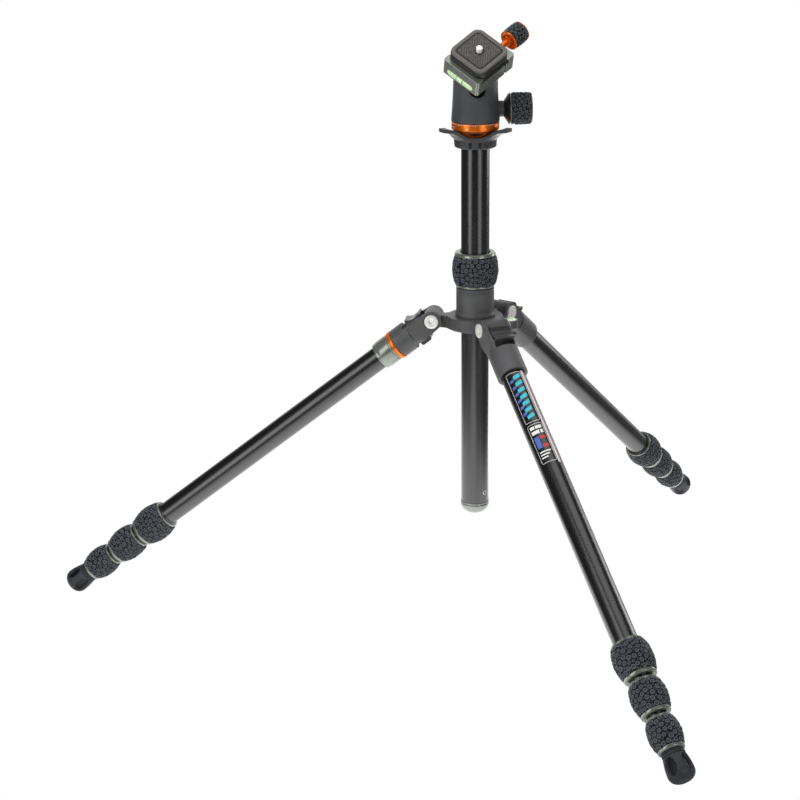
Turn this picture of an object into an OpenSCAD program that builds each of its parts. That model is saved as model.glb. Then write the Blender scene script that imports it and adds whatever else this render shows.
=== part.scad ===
// Travel tripod: three four-section legs, a sliding centre column and a ball head with a
// quick-release clamp, standing with its legs spread and its head tipped forward.
// Millimetres. +Z is up. The floor is Z = 0 and the origin is in the middle of the footprint.

/* [Stance] */
// Angle between each leg and the vertical
leg_splay = 52; // [40:1:62]
// How far the head's platform stands above the column lock
column_raised = 101; // [20:1:160]
// Way the head's drop notch faces, measured from +X
head_azimuth = -79; // [-180:1:180]
// How far the ball's stem leans towards the drop notch
ball_tilt = 41.4; // [0:0.1:60]
// Turn of the clamp about the ball's stem
clamp_turn = 43.5; // [-180:0.5:180]

/* [Legs] */
// Outer diameter of the thickest leg tube
leg_tube_d = 23; // [21:0.5:24]
// How much thinner each section's tube is than the one that holds it
tube_step = 3; // [3:0.1:3.6]
// Wall of every leg tube
tube_wall = 1.2; // [0.8:0.1:1.3]
// From the hinge pin to the first twist lock
upper_length = 345.5; // [280:0.5:420]
// Length of the first twist lock
lock_1_length = 35; // [30:0.5:42]
// Length of the second twist lock
lock_2_length = 32.5; // [28:0.5:40]
// Length of the third twist lock
lock_3_length = 31.5; // [28:0.5:40]
// Widest radius of the first lock's rubber grip
lock_1_r = 18.4; // [17:0.1:20]
// Widest radius of the second lock's rubber grip
lock_2_r = 16.8; // [15.5:0.1:18.5]
// Widest radius of the third lock's rubber grip
lock_3_r = 15.3; // [14:0.1:17]
// Gap between two neighbouring locks
lock_gap = 3; // [1.5:0.1:6]
// How far each section slides out
section_travel = 260; // [180:5:270]
// Length of a foot that shows below the last lock
foot_length = 27; // [22:0.5:34]
// Widest radius of a foot
foot_r = 12.3; // [11:0.1:14]

/* [Yokes] */
// Radius of the yoke where it grips its leg tube
yoke_r = 14.7; // [13.8:0.1:15.2]
// Length of a yoke, from the hinge pin
yoke_length = 56; // [46:0.5:70]
// Length of the shorter yoke on the leg that unscrews as a monopod
monopod_yoke_length = 43.5; // [40:0.5:48]
// Radius of the rounded ears
ear_r = 9.6; // [9:0.1:10.6]
// Thickness of one ear
ear_t = 3.6; // [3:0.1:4.4]
// Radius of the hinge pins
pin_r = 4; // [3:0.1:5]
// Radius of a hinge pin's head
pin_head_r = 6.65; // [5.5:0.05:7.5]
// Thickness of a hinge pin's head
pin_head_t = 2.1; // [1.6:0.1:3]
// Size of the angle-stop tab along the leg
tab_t = 11.4; // [9:0.1:12]
// How far the angle-stop tab is pulled to free the leg
tab_travel = 5; // [3:0.1:6]

/* [Canopy] */
// From the column's axis to each hinge pin
hinge_radius = 41; // [40:0.5:46]
// Radius of the canopy's ring
canopy_r = 27; // [25:0.5:28]
// Thickness of the canopy's ring
canopy_t = 12; // [9:0.5:14]
// Radius of a hinge barrel
barrel_r = 9.6; // [9:0.1:10.6]
// Width of a hinge barrel, between the ears
barrel_w = 19.6; // [16:0.2:22]
// Distance of the round level from the column's axis
level_reach = 34; // [33:0.5:38]
// Radius of the round level's boss
level_boss_r = 7.4; // [6:0.1:8]

/* [Column] */
// Outer diameter of the centre column
column_d = 27; // [25:0.5:28]
// Wall of the column's tube
column_wall = 1.5; // [1:0.1:2.5]
// Length of the column's tube
column_length = 363; // [300:1:380]
// Height of the sleeve above the canopy
sleeve_h = 28; // [22:0.5:36]
// Radius of the sleeve at its top
sleeve_r = 18.3; // [17.8:0.1:19]
// Height of the column lock
column_lock_h = 33.2; // [28:0.2:40]
// Widest radius of the column lock's rubber grip
column_lock_r = 22.3; // [21.5:0.1:23]
// Height of the cap under the column
end_cap_h = 11.5; // [8:0.5:16]

/* [Head] */
// Height of the platform under the head
platform_h = 17.2; // [15:0.1:20]
// Radius of the platform's hub
platform_r = 20.3; // [19:0.1:21]
// From the column's axis to the tip of each platform wing
wing_reach = 36.8; // [34:0.1:42]
// Radius of the graduated pan ring
pan_ring_r = 22.5; // [21.5:0.1:24]
// Height of the graduated pan ring
pan_ring_h = 7.1; // [5:0.1:9]
// Radius of the housing at its foot
housing_r = 22.9; // [22:0.1:24]
// Radius of the housing near its top
housing_top_r = 20.9; // [20:0.1:22]
// Height of the housing
housing_h = 40.4; // [38:0.1:42]
// Diameter of the ball
ball_d = 34; // [32:0.2:35]
// Radius of the ball's stem
stem_r = 7; // [5.5:0.1:7.5]
// Widest radius of the ball-lock knob
ball_knob_r = 15.1; // [12:0.1:15.2]
// Length of the ball-lock knob's grip, with its rings
ball_knob_length = 20.9; // [16:0.1:26]

/* [Clamp and plate] */
// From the ball's centre to the top of the jaws
clamp_rise = 41.4; // [41:0.1:50]
// Height of the jaws
clamp_h = 17.4; // [15:0.1:17.8]
// Length of the jaws, along the plate's channel
clamp_length = 43; // [38:0.5:60]
// From the stem's axis to the outer face of the jaw with the level
level_jaw_reach = 24.6; // [24:0.1:28]
// From the stem's axis to the outer face of the jaw with the knob
knob_jaw_reach = 26.5; // [25:0.1:30]
// Width of the plate's dovetail at its base, as standard plates have
dovetail_w = 38; // [37.8:0.1:38.2]
// Side of the square camera plate
plate_side = 41.5; // [39:0.5:50]
// Radius of the camera plate's corners
plate_corner_r = 8; // [4:0.5:10]
// Height of the pad's top above the jaws
plate_rise = 9; // [7.5:0.1:12]
// Diameter of the camera stud, a quarter-inch thread's outside
stud_d = 6.35; // [6.35:6.35]
// How far the camera stud stands above the pad
stud_rise = 4.5; // [4:0.1:6]
// Widest radius of the clamp's knob
clamp_knob_r = 10.2; // [8.5:0.1:12]
// Length of the clamp's knob
clamp_knob_length = 18.6; // [14:0.1:22]
// From the jaw's outer face to the clamp's knob
clamp_knob_gap = 12.8; // [8:0.1:16]

/* [Hidden] */
$fn = 96;

// Clearances: a running fit, two faces that only pass each other, and the overrun of a cut
running = 0.06;
air = 0.3;
cut = 1;

// Legs by name, and the way each of them points
LEG_NAMES = ["a", "b", "c"];
LEG_AZIMUTHS = [180, -60, 60];
LOCKS = 3;
LEG_PIECES = ["yoke", "toggle", "tube_1", "tube_2", "tube_3", "tube_4", "lock_1", "lock_2", "lock_3", "foot"];

// Finishes
CASTING = "#2c2d30";
ANODISED_BLACK = "#131315";
GREEN = "#6f7a6c";
ORANGE = "#e8641b";
RUBBER = "#2e3134";
STEEL = "#c9cacb";
VIAL = "#c9f0a8";
PAD = "#5b544e";
HOUSING = "#45474b";
PLASTIC = "#1d1d1f";

// Feet: a torus-shaped edge that rolls on the floor, cut flat where it stands
foot_edge_r = 8;
foot_neck_r = 10.4;
foot_neck_h = 4.5;
foot_socket = 9;
foot_flat = 0.5;
foot_arc_steps = 8;

// Twist locks: a metal nut with a ring at each end and a rubber grip between them
lock_lengths = [lock_1_length, lock_2_length, lock_3_length];
lock_radii = [lock_1_r, lock_2_r, lock_3_r];
ring_h = 3.2;
thin_ring_h = 2;
ring_round = 0.8;
ring_step = 1;
grip_seat = 2.3;
grip_end_rise = 1.3;
grip_bands = 10;
grip_bulge_share = 0.7;
ferrule_t = 1.2;
ferrule_flange = 1.5;
collet_length = 10;
tube_stagger = 2;

function tube_r(section) = (leg_tube_d - tube_step * (section - 1)) / 2;
function lock_start(lock) = lock == 1
    ? upper_length
    : lock_start(lock - 1) + lock_lengths[lock - 2] + lock_gap;
function lock_end(lock) = lock_start(lock) + lock_lengths[lock - 1];
function ferrule_r(lock) = tube_r(lock) + ferrule_t;
function nut_core_r(lock) = ferrule_r(lock) + running + ring_step;
function tube_end(section) = section <= LOCKS
    ? lock_end(section) - ring_h - collet_length
    : foot_start + foot_socket;
function tube_top(section) = socket_s + (section - 1) * tube_stagger + (section > 1 ? tube_inset : 0);

foot_start = lock_end(LOCKS) + 2 * air;
foot_end = foot_start + foot_length;
foot_edge_s = foot_end - foot_edge_r;
foot_edge_offset = foot_r - foot_edge_r;
foot_reach = hinge_radius + foot_edge_s * sin(leg_splay);
hinge_z = foot_edge_s * cos(leg_splay) + foot_edge_offset * sin(leg_splay) + foot_edge_r - foot_flat;
axis_x = foot_reach / 4;

// Yokes, measured along the leg from the hinge pin
ear_gap = 0.4;
slot_w = barrel_w + ear_gap;
ear_span = slot_w + 2 * ear_t;
ear_corner_r = 17.3;
ear_s = 25;
ear_flare_r = 12.6;
tab_air = 1.6;
tab_s = barrel_r + tab_air;
tab_peak = 2.2;
tab_reach = yoke_r + tab_peak;
tab_play = 0.6;
tab_lip_s = 5.8;
tab_lip_r = 13.4;
tab_scoop_r = 11;
tab_scoop_s = 13;
tab_scoop_depth = 4.6;
tab_foot_r = 2;
tab_foot_reach = 14.8;
slot_s = tab_s + tab_t + tab_travel + tab_play;
slot_floor = 2;
socket_s = slot_s + slot_floor;
tube_inset = 12;
socket_w = 3.2;
socket_depth = 1.4;

// Monopod coupling below the shorter yoke
monopod_ring_t = 3.5;
monopod_ring_proud = 0.4;
collar_length = 18;
collar_r = 14.3;
collar_end_r = 13.7;
collar_step_s = 5;

// Canopy and its round level
canopy_rise = 4.5;
canopy_top = hinge_z + canopy_rise;
canopy_bottom = canopy_top - canopy_t;
arm_w = 26;
arm_scoop_r = 9.5;
arm_scoop_reach = 32.5;
arm_waist = 11;
level_boss_h = 7.7;
level_drop = 4.3;
level_vial_r = 5.8;
level_vial_h = 5;
level_arm_w = 9;
level_top = canopy_top - level_drop;

// Column, its sleeve, collet and lock
column_r = column_d / 2;
column_air = 0.9;
spigot_r = 16;
flange_r = 19.5;
flange_h = 2;
thread_r = 17;
thread_h = 22;
collet_wall = 1.1;
column_lock_gap = 1.5;
lock_rim_r = 18;
lock_lip_h = 3.4;
column_lock_z = canopy_top + sleeve_h + column_lock_gap;
column_lock_top = column_lock_z + column_lock_h;
platform_z = column_lock_top + column_raised;
column_seat = 8;
column_bottom = platform_z + column_seat - column_length;
cap_rim = 0.4;
cap_rim_r = column_r + cap_rim;
cap_spigot_h = 8;
cap_dome = 4;
cap_steps = 8;
cap_screw_r = 1.6;
cap_screw_rise = 10;

// Platform and pan base, measured up from the platform's underside
hub_flare = 0.4;
hub_round = 1.2;
hub_notch_w = 11.5;
hub_notch_h = 6.8;
wing_azimuth = -24.7;
wing_tip_w = 10.8;
wing_foot_z = 7.6;
wing_rise = 8.9;
wing_t = 3.5;
wing_flare_shares = [[0, 0], [0.15, 0.25], [0.32, 0.6], [0.55, 0.9], [1, 1]];
head_screw_r = 4.76;
head_screw_rise = 11;
pan_cone_z = wing_foot_z + wing_t;
pan_cone_r = 16.5;
pan_edge = 0.6;
pan_spigot_r = 17.2;
pan_spigot_h = 4;
pan_slot_w = 15;
pan_slot_h = 3.1;
pan_slot_depth = 4;
pan_slot_drop = 0.3;
pan_slot_azimuth = -85;
pan_top = platform_h + pan_ring_h;

// Housing and ball, measured up from the platform's underside
housing_gap = 0.2;
housing_z = pan_top + housing_gap;
housing_top = housing_z + housing_h;
housing_bands = 8;
housing_curve_share = 1.6;
housing_edge = 1.8;
ball_r = ball_d / 2;
ball_below_top = 8.3;
ball_z = housing_top - ball_below_top;
notch_air = 0.6;
seat_dip = 0.4;
seat_bottom = ball_z - ball_r + seat_dip;
seat_h = 7;
seat_bore_r = 9;
stem_flange_r = 10;
stem_flange_h = 2;

// Ball-lock knob, measured out from the column's axis
knob_screw_r = 3.9;
knob_screw_drop = 0.4;
knob_z = ball_z - ball_r - knob_screw_r - knob_screw_drop;
boss_r = 7.6;
boss_reach = 26.5;
knob_screw_start = 4;
knob_cone_r = 8;
knob_cone_h = 4.9;
knob_ring_h = 1.1;
knob_ring_drop = 0.6;
knob_grip_t = 2.1;
knob_start = boss_reach + air;

// Clamp, measured down from the top of its jaws
lip_h = 0.7;
flank_h = 2.6;
dovetail_h = 4.3;
jaw_fit = 0.08;
floor_drop = 4.7;
seam_reach = 13.5;
jaw_seam = 1.8;
corner_cut = 2.6;
vial_r = 4.3;
vial_length = 33.4;
vial_inset = 3;
vial_drop = 12.2;
jaw_pin_r = 1.6;
jaw_pin_reach = 15.5;
jaw_pin_drop = 11.5;
jaw_pin_length = 17;
clamp_knob_shift = 2.5;
clamp_knob_drop = 7.6;
clamp_screw_r = 3;
clamp_screw_start = 4;
dish_depth = 4.5;
dish_rim = 1.6;
core_end_h = 1.2;
core_rim = 0.5;
core_grip_t = 1.6;

// Plate, pad and camera screw
plate_gap = 0.3;
pad_t = 2.2;
pad_inset = 0.35;
screw_head_r = 7;
screw_head_h = 2.2;
screw_groove_w = 1.4;
screw_groove_h = 1.1;
stud_neck_r = 2.7;
stud_tip = 0.7;

// Places for the pieces

module at_axis(z = 0) translate([axis_x, 0, z]) children();

// Leg frame: +Z runs down the leg from its hinge pin, +X is its underside, Y is the hinge
module on_leg(i)
    at_axis() rotate(LEG_AZIMUTHS[i]) translate([hinge_radius, 0, hinge_z])
        rotate([0, 180 - leg_splay, 0]) children();

module on_platform() at_axis(platform_z) children();

// Head frame: +X faces the drop notch
module on_head() on_platform() rotate(head_azimuth) children();

module on_ball() on_head() translate([0, 0, ball_z]) rotate([0, ball_tilt, 0]) children();

// Clamp frame: X runs along the plate's channel, +Y towards the knob, Z = 0 on the jaws' top
module on_clamp() on_ball() rotate(clamp_turn) translate([0, 0, clamp_rise]) children();

// Shapes that repeat

module cross_pin(r, w) rotate([90, 0, 0]) cylinder(r = r, h = w, center = true);

module ring(r, bore, h) difference() {
    cylinder(r = r, h = h);
    translate([0, 0, -cut]) cylinder(r = bore, h = h + 2 * cut);
}

// Rubber grip: a barrel on a metal core, from its end radius out to its widest
module grip(core, r_end, r_mid, h) rotate_extrude() polygon(concat(
    [[core, 0]],
    [for (i = [0 : grip_bands])
        [r_end + (r_mid - r_end) * pow(sin(180 * i / grip_bands), grip_bulge_share), h * i / grip_bands]],
    [[core, h]]
));

// Square plate with round corners
module rounded_slab(side, r, h) {
    straight = side - 2 * r;
    translate([-side / 2, -straight / 2, 0]) cube([side, straight, h]);
    translate([-straight / 2, -side / 2, 0]) cube([straight, side, h]);
    for (x = [-1, 1]) for (y = [-1, 1])
        translate([x * straight / 2, y * straight / 2, 0]) cylinder(r = r, h = h);
}

// Canopy

module canopy_arm(azimuth) rotate(azimuth) {
    translate([hinge_radius, 0, hinge_z]) cross_pin(barrel_r, barrel_w);
    difference() {
        translate([0, -arm_w / 2, canopy_bottom]) cube([hinge_radius, arm_w, canopy_t]);
        for (side = [-1, 1])
            translate([arm_scoop_reach, side * (arm_waist / 2 + arm_scoop_r), canopy_bottom - cut])
                cylinder(r = arm_scoop_r, h = canopy_t + 2 * cut);
        for (side = [-1, 1]) translate([arm_scoop_reach, side * barrel_w / 2 - (side < 0 ? arm_w : 0),
            canopy_bottom - cut]) cube([hinge_radius, arm_w, canopy_t + 2 * cut]);
    }
}

module canopy() color(CASTING) at_axis() difference() {
    union() {
        translate([0, 0, canopy_bottom]) cylinder(r = canopy_r, h = canopy_t);
        for (azimuth = LEG_AZIMUTHS) canopy_arm(azimuth);
        translate([0, -level_arm_w / 2, canopy_bottom]) cube([level_reach, level_arm_w, level_boss_h - cut]);
        translate([level_reach, 0, level_top - level_boss_h]) cylinder(r = level_boss_r, h = level_boss_h);
    }
    translate([0, 0, canopy_bottom - cut]) cylinder(r = spigot_r, h = canopy_t + 2 * cut);
    translate([level_reach, 0, level_top - level_vial_h]) cylinder(r = level_vial_r, h = level_vial_h + cut);
    for (azimuth = LEG_AZIMUTHS)
        rotate(azimuth) translate([hinge_radius, 0, hinge_z]) cross_pin(pin_r, barrel_w + 2 * cut);
}

module canopy_level() color(VIAL) at_axis(level_top - level_vial_h)
    translate([level_reach, 0, 0]) cylinder(r = level_vial_r, h = level_vial_h + air);

// Three pins, each with a head at both ends and a hexagonal socket in each head
module hinge_bolts() color(STEEL) for (azimuth = LEG_AZIMUTHS)
    at_axis(hinge_z) rotate(azimuth) translate([hinge_radius, 0, 0]) difference() {
        head_gap = ear_span / 2 + air / 2;
        union() {
            cross_pin(pin_r, 2 * head_gap + pin_head_t);
            for (side = [-1, 1]) translate([0, side * (head_gap + pin_head_t / 2), 0])
                cross_pin(pin_head_r, pin_head_t);
        }
        for (side = [-1, 1]) translate([0, side * (head_gap + pin_head_t), 0])
            rotate([90, 0, 0]) cylinder(r = socket_w, h = 2 * socket_depth, center = true, $fn = 6);
    }

// Column sleeve, collet and lock

module column_sleeve() color(CASTING) at_axis(canopy_top) rotate_extrude() polygon([
    [column_r + collet_wall, -canopy_t],
    [spigot_r, -canopy_t],
    [spigot_r, 0],
    [flange_r, 0],
    [flange_r, flange_h],
    [sleeve_r + (flange_r - sleeve_r) / 3, 2 * flange_h],
    [sleeve_r, sleeve_h],
    [thread_r, sleeve_h],
    [thread_r, sleeve_h + thread_h],
    [column_r + collet_wall, sleeve_h + thread_h]
]);

module column_collet() color(PLASTIC) at_axis(canopy_bottom)
    ring(column_r + collet_wall, column_r + running, canopy_t + sleeve_h + thread_h + collet_wall);

module column_lock_nut() color(GREEN) at_axis(column_lock_z) rotate_extrude() polygon([
    [thread_r + running, 0],
    [lock_rim_r + ring_round, 0],
    [lock_rim_r + ring_step, thin_ring_h],
    [lock_rim_r, thin_ring_h],
    [lock_rim_r, column_lock_h - ring_h],
    [lock_rim_r + ring_step, column_lock_h - ring_h],
    [lock_rim_r, column_lock_h],
    [column_r + air, column_lock_h],
    [column_r + air, column_lock_h - lock_lip_h],
    [thread_r + running, column_lock_h - lock_lip_h]
]);

module column_lock_grip() color(RUBBER) at_axis(column_lock_z + thin_ring_h)
    grip(lock_rim_r, lock_rim_r + grip_end_rise, column_lock_r, column_lock_h - ring_h - thin_ring_h);

// Centre column

module column_tube() color(ANODISED_BLACK) at_axis(column_bottom) difference() {
    ring(column_r, column_r - column_wall, column_length);
    rotate(head_azimuth) translate([0, 0, cap_screw_rise]) rotate([0, 90, 0])
        cylinder(r = cap_screw_r, h = column_d);
}

module column_end_cap() color(GREEN) at_axis(column_bottom) rotate_extrude() polygon(concat(
    [[0, cap_spigot_h], [column_r - column_wall, cap_spigot_h], [column_r - column_wall, 0], [cap_rim_r, 0]],
    [[cap_rim_r, cap_dome - end_cap_h]],
    [for (i = [1 : cap_steps])
        [cap_rim_r * cos(90 * i / cap_steps), cap_dome - end_cap_h - cap_dome * sin(90 * i / cap_steps)]]
));

// Platform and pan base

// Three wings with hollow sides: each side is an arc through the corners of two wing tips
module wing_plan() {
    tip_x = sqrt(pow(wing_reach, 2) - pow(wing_tip_w / 2, 2));
    chord_reach = tip_x * cos(60) + wing_tip_w / 2 * sin(60);
    half_chord = tip_x * sin(60) - wing_tip_w / 2 * cos(60);
    dip = chord_reach - platform_r;
    scallop_r = (pow(half_chord, 2) + pow(dip, 2)) / (2 * dip);
    difference() {
        cylinder(r = wing_reach, h = platform_h + pan_ring_h);
        for (i = [0 : 2]) rotate(wing_azimuth + 60 + 120 * i) translate([platform_r + scallop_r, 0, -cut])
            cylinder(r = scallop_r, h = platform_h + pan_ring_h + 2 * cut, $fn = 360);
    }
}

// The wings' flare: low at the hub and level at the tips
function wing_flare(z) = [for (share = wing_flare_shares)
    [platform_r + (wing_reach - platform_r) * share[0], z + wing_rise * share[1]]];
function reversed(points) = [for (i = [len(points) - 1 : -1 : 0]) points[i]];

module head_platform() color(CASTING) on_platform() difference() {
    union() {
        cylinder(r1 = platform_r - hub_round, r2 = platform_r - hub_flare, h = hub_round);
        translate([0, 0, hub_round])
            cylinder(r1 = platform_r - hub_flare, r2 = platform_r, h = wing_foot_z - hub_round);
        translate([0, 0, wing_foot_z - hub_round]) cylinder(r = platform_r - hub_flare, h = wing_t + hub_round);
        intersection() {
            wing_plan();
            rotate_extrude() polygon(concat(
                [[0, wing_foot_z]],
                wing_flare(wing_foot_z),
                reversed(wing_flare(wing_foot_z + wing_t)),
                [[0, wing_foot_z + wing_t]]
            ));
        }
    }
    translate([0, 0, -cut]) cylinder(r = column_r, h = column_seat + cut);
    rotate(pan_slot_azimuth) translate([0, -hub_notch_w / 2, -cut])
        cube([platform_r + cut, hub_notch_w, hub_notch_h + cut]);
    cylinder(r = head_screw_r, h = platform_h);
}

module head_screw() color(STEEL) on_platform()
    translate([0, 0, column_seat]) cylinder(r = head_screw_r, h = head_screw_rise);

module pan_base() color(ORANGE) on_platform() difference() {
    rotate_extrude() polygon([
        [0, pan_cone_z],
        [pan_cone_r, pan_cone_z],
        [pan_ring_r, platform_h],
        [pan_ring_r, pan_top - pan_edge],
        [pan_ring_r - pan_edge, pan_top],
        [pan_spigot_r, pan_top],
        [pan_spigot_r, pan_top + pan_spigot_h],
        [0, pan_top + pan_spigot_h]
    ]);
    cylinder(r = head_screw_r, h = column_seat + head_screw_rise);
    rotate(pan_slot_azimuth) translate([pan_ring_r - pan_slot_depth, -pan_slot_w / 2, platform_h - pan_slot_h])
        cube([pan_slot_depth + cut, pan_slot_w, pan_slot_h - pan_slot_drop]);
}

// Housing, ball and ball lock

module head_housing() color(HOUSING) on_head() difference() {
    union() {
        rotate_extrude() polygon(concat(
            [[pan_spigot_r + running, housing_z], [housing_r - pan_edge, housing_z]],
            [for (i = [0 : housing_bands])
                [housing_top_r + (housing_r - housing_top_r) * pow(1 - i / housing_bands, housing_curve_share),
                housing_z + pan_edge + (housing_h - pan_edge - housing_edge) * i / housing_bands]],
            [[housing_top_r - housing_edge, housing_top], [pan_spigot_r + running, housing_top]]
        ));
        translate([0, 0, knob_z]) rotate([-90, 0, 0]) cylinder(r = boss_r, h = boss_reach);
        rotate_extrude() polygon([
            [0, ball_z],
            [pan_spigot_r + cut, ball_z],
            [pan_spigot_r + cut, housing_top],
            [0, housing_top]
        ]);
    }
    translate([0, 0, ball_z]) sphere(r = ball_r + running);
    translate([0, 0, housing_z - cut]) cylinder(r = pan_spigot_r + running, h = ball_z - housing_z + cut);
    translate([0, 0, ball_z]) rotate([0, 90, 0]) cylinder(r = stem_r + notch_air, h = housing_r + cut);
    translate([0, -stem_r - notch_air, ball_z])
        cube([housing_r + cut, 2 * (stem_r + notch_air), ball_below_top + cut]);
    translate([0, 0, knob_z]) rotate([-90, 0, 0]) cylinder(r = knob_screw_r + running, h = boss_reach + cut);
}

module ball_seat() color(PLASTIC) on_head() difference() {
    translate([0, 0, seat_bottom]) ring(pan_spigot_r, seat_bore_r, seat_h);
    translate([0, 0, ball_z]) sphere(r = ball_r + running);
}

module ball() color(ANODISED_BLACK) on_ball() {
    sphere(r = ball_r);
    cylinder(r = stem_r, h = clamp_rise - clamp_h);
    translate([0, 0, clamp_rise - clamp_h - stem_flange_h]) cylinder(r = stem_flange_r, h = stem_flange_h);
}

// Knob frame: +Z runs out along the ball-lock screw from the column's axis
module on_ball_knob() on_head() translate([0, 0, knob_z]) rotate([-90, 0, 0]) children();

knob_grip_start = knob_start + knob_cone_h + knob_ring_h;
knob_end = knob_start + knob_cone_h + ball_knob_length;
knob_grip_length = ball_knob_length - 2 * knob_ring_h;

module ball_knob() color(GREEN) on_ball_knob() {
    translate([0, 0, knob_screw_start]) cylinder(r = knob_screw_r, h = knob_start - knob_screw_start + cut);
    rotate_extrude() polygon([
        [0, knob_start],
        [knob_cone_r, knob_start],
        [ball_knob_r - knob_ring_drop, knob_start + knob_cone_h],
        [ball_knob_r - knob_ring_drop, knob_grip_start],
        [ball_knob_r - knob_grip_t, knob_grip_start],
        [ball_knob_r - knob_grip_t, knob_end - knob_ring_h],
        [ball_knob_r - knob_ring_drop, knob_end - knob_ring_h],
        [ball_knob_r - 2 * knob_ring_drop, knob_end],
        [0, knob_end]
    ]);
}

module ball_knob_grip() color(RUBBER) on_ball_knob() translate([0, 0, knob_grip_start])
    grip(ball_knob_r - knob_grip_t, ball_knob_r - knob_ring_drop, ball_knob_r, knob_grip_length);

// Clamp

channel_r = dovetail_w / 2 + jaw_fit;
lip_reach = channel_r - flank_h;

// One jaw's outline across the channel, from its inner foot out to its outer face
module jaw_outline(inner, outer) polygon([
    [lip_reach, 0],
    [outer, 0],
    [outer, -clamp_h],
    [inner, -clamp_h],
    [inner, -floor_drop],
    [channel_r, -floor_drop],
    [channel_r, -lip_h - flank_h],
    [lip_reach, -lip_h]
]);

// An outline drawn across the channel, swept along it
module along_channel() rotate([90, 0, 90]) linear_extrude(height = clamp_length, center = true) children();

// Takes the upright edges off the jaws' outer corners
module corner_cuts(reach) for (end = [-1, 1])
    translate([end * clamp_length / 2, reach, -clamp_h / 2]) rotate(45)
        cube([corner_cut, corner_cut, clamp_h + 2 * cut], center = true);

module vial_capsule() translate([0, vial_inset - level_jaw_reach, -vial_drop]) {
    barrel = vial_length - 2 * vial_r;
    rotate([0, 90, 0]) cylinder(r = vial_r, h = barrel, center = true);
    for (end = [-1, 1]) translate([end * barrel / 2, 0, 0]) sphere(r = vial_r);
}

module jaw_pin_holes(r) for (end = [-1, 1])
    translate([end * jaw_pin_reach, seam_reach + jaw_seam / 2, -jaw_pin_drop]) cross_pin(r, jaw_pin_length);

// Clamp screw frame: +Z runs out along the screw from the stem's side
module on_clamp_screw() translate([clamp_knob_shift, 0, -clamp_knob_drop]) rotate([-90, 0, 0]) children();

module clamp_body() color(GREEN) on_clamp() difference() {
    union() {
        along_channel() mirror([1, 0]) jaw_outline(0, level_jaw_reach);
        translate([-clamp_length / 2, -cut, -clamp_h]) cube([clamp_length, seam_reach + cut, clamp_h - floor_drop]);
    }
    corner_cuts(-level_jaw_reach);
    vial_capsule();
    jaw_pin_holes(jaw_pin_r);
    on_clamp_screw() cylinder(r = clamp_screw_r + running, h = knob_jaw_reach);
}

module clamp_level() color(VIAL) on_clamp() vial_capsule();

module jaw_pins() color(STEEL) on_clamp() jaw_pin_holes(jaw_pin_r);

module clamp_jaw() color(GREEN) on_clamp() difference() {
    along_channel() jaw_outline(seam_reach + jaw_seam, knob_jaw_reach);
    corner_cuts(knob_jaw_reach);
    jaw_pin_holes(jaw_pin_r + running);
    on_clamp_screw() cylinder(r = clamp_screw_r + running, h = knob_jaw_reach + cut);
}

clamp_knob_start = knob_jaw_reach + clamp_knob_gap;
clamp_knob_end = clamp_knob_start + clamp_knob_length;

module clamp_knob() color(ORANGE) on_clamp() on_clamp_screw() difference() {
    core_r = clamp_knob_r - core_grip_t;
    end_r = clamp_knob_r - core_rim;
    union() {
        translate([0, 0, clamp_screw_start]) cylinder(r = clamp_screw_r, h = clamp_knob_end - clamp_screw_start);
        rotate_extrude() polygon([
            [0, clamp_knob_start + dish_depth],
            [clamp_screw_r, clamp_knob_start + dish_depth],
            [core_r - dish_rim, clamp_knob_start + dish_rim],
            [core_r - dish_rim / 2, clamp_knob_start],
            [end_r, clamp_knob_start],
            [end_r, clamp_knob_start + core_end_h],
            [core_r, clamp_knob_start + core_end_h],
            [core_r, clamp_knob_end - core_end_h],
            [end_r, clamp_knob_end - core_end_h],
            [end_r - core_rim, clamp_knob_end],
            [0, clamp_knob_end]
        ]);
    }
    translate([0, 0, clamp_knob_end]) cylinder(r = clamp_screw_r, h = 2 * core_end_h, center = true, $fn = 6);
}

module clamp_knob_grip() color(RUBBER) on_clamp() on_clamp_screw()
    translate([0, 0, clamp_knob_start + core_end_h])
        grip(clamp_knob_r - core_grip_t, clamp_knob_r - core_rim, clamp_knob_r,
            clamp_knob_length - 2 * core_end_h);

// Camera plate

module quick_plate() color(ANODISED_BLACK) on_clamp() difference() {
    union() {
        translate([0, 0, plate_gap]) rounded_slab(plate_side, plate_corner_r, plate_rise - pad_t - plate_gap);
        half = dovetail_w / 2;
        rotate([90, 0, 90]) linear_extrude(height = plate_side - plate_corner_r, center = true) polygon([
            [flank_h - half, plate_gap + cut],
            [half - flank_h, plate_gap + cut],
            [half - flank_h, -lip_h],
            [half, -lip_h - flank_h],
            [half, -dovetail_h],
            [-half, -dovetail_h],
            [-half, -lip_h - flank_h],
            [flank_h - half, -lip_h]
        ]);
    }
    translate([0, 0, -dovetail_h - cut]) cylinder(r = stud_neck_r + running, h = dovetail_h + plate_rise + cut);
    translate([0, 0, -dovetail_h - cut]) cylinder(r = screw_head_r + air, h = screw_head_h + air + cut);
}

module plate_pad() color(PAD) on_clamp() translate([0, 0, plate_rise - pad_t]) difference() {
    rounded_slab(plate_side - 2 * pad_inset, plate_corner_r - pad_inset, pad_t);
    translate([0, 0, -cut]) cylinder(r = stud_d / 2 + air, h = pad_t + 2 * cut);
}

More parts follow.
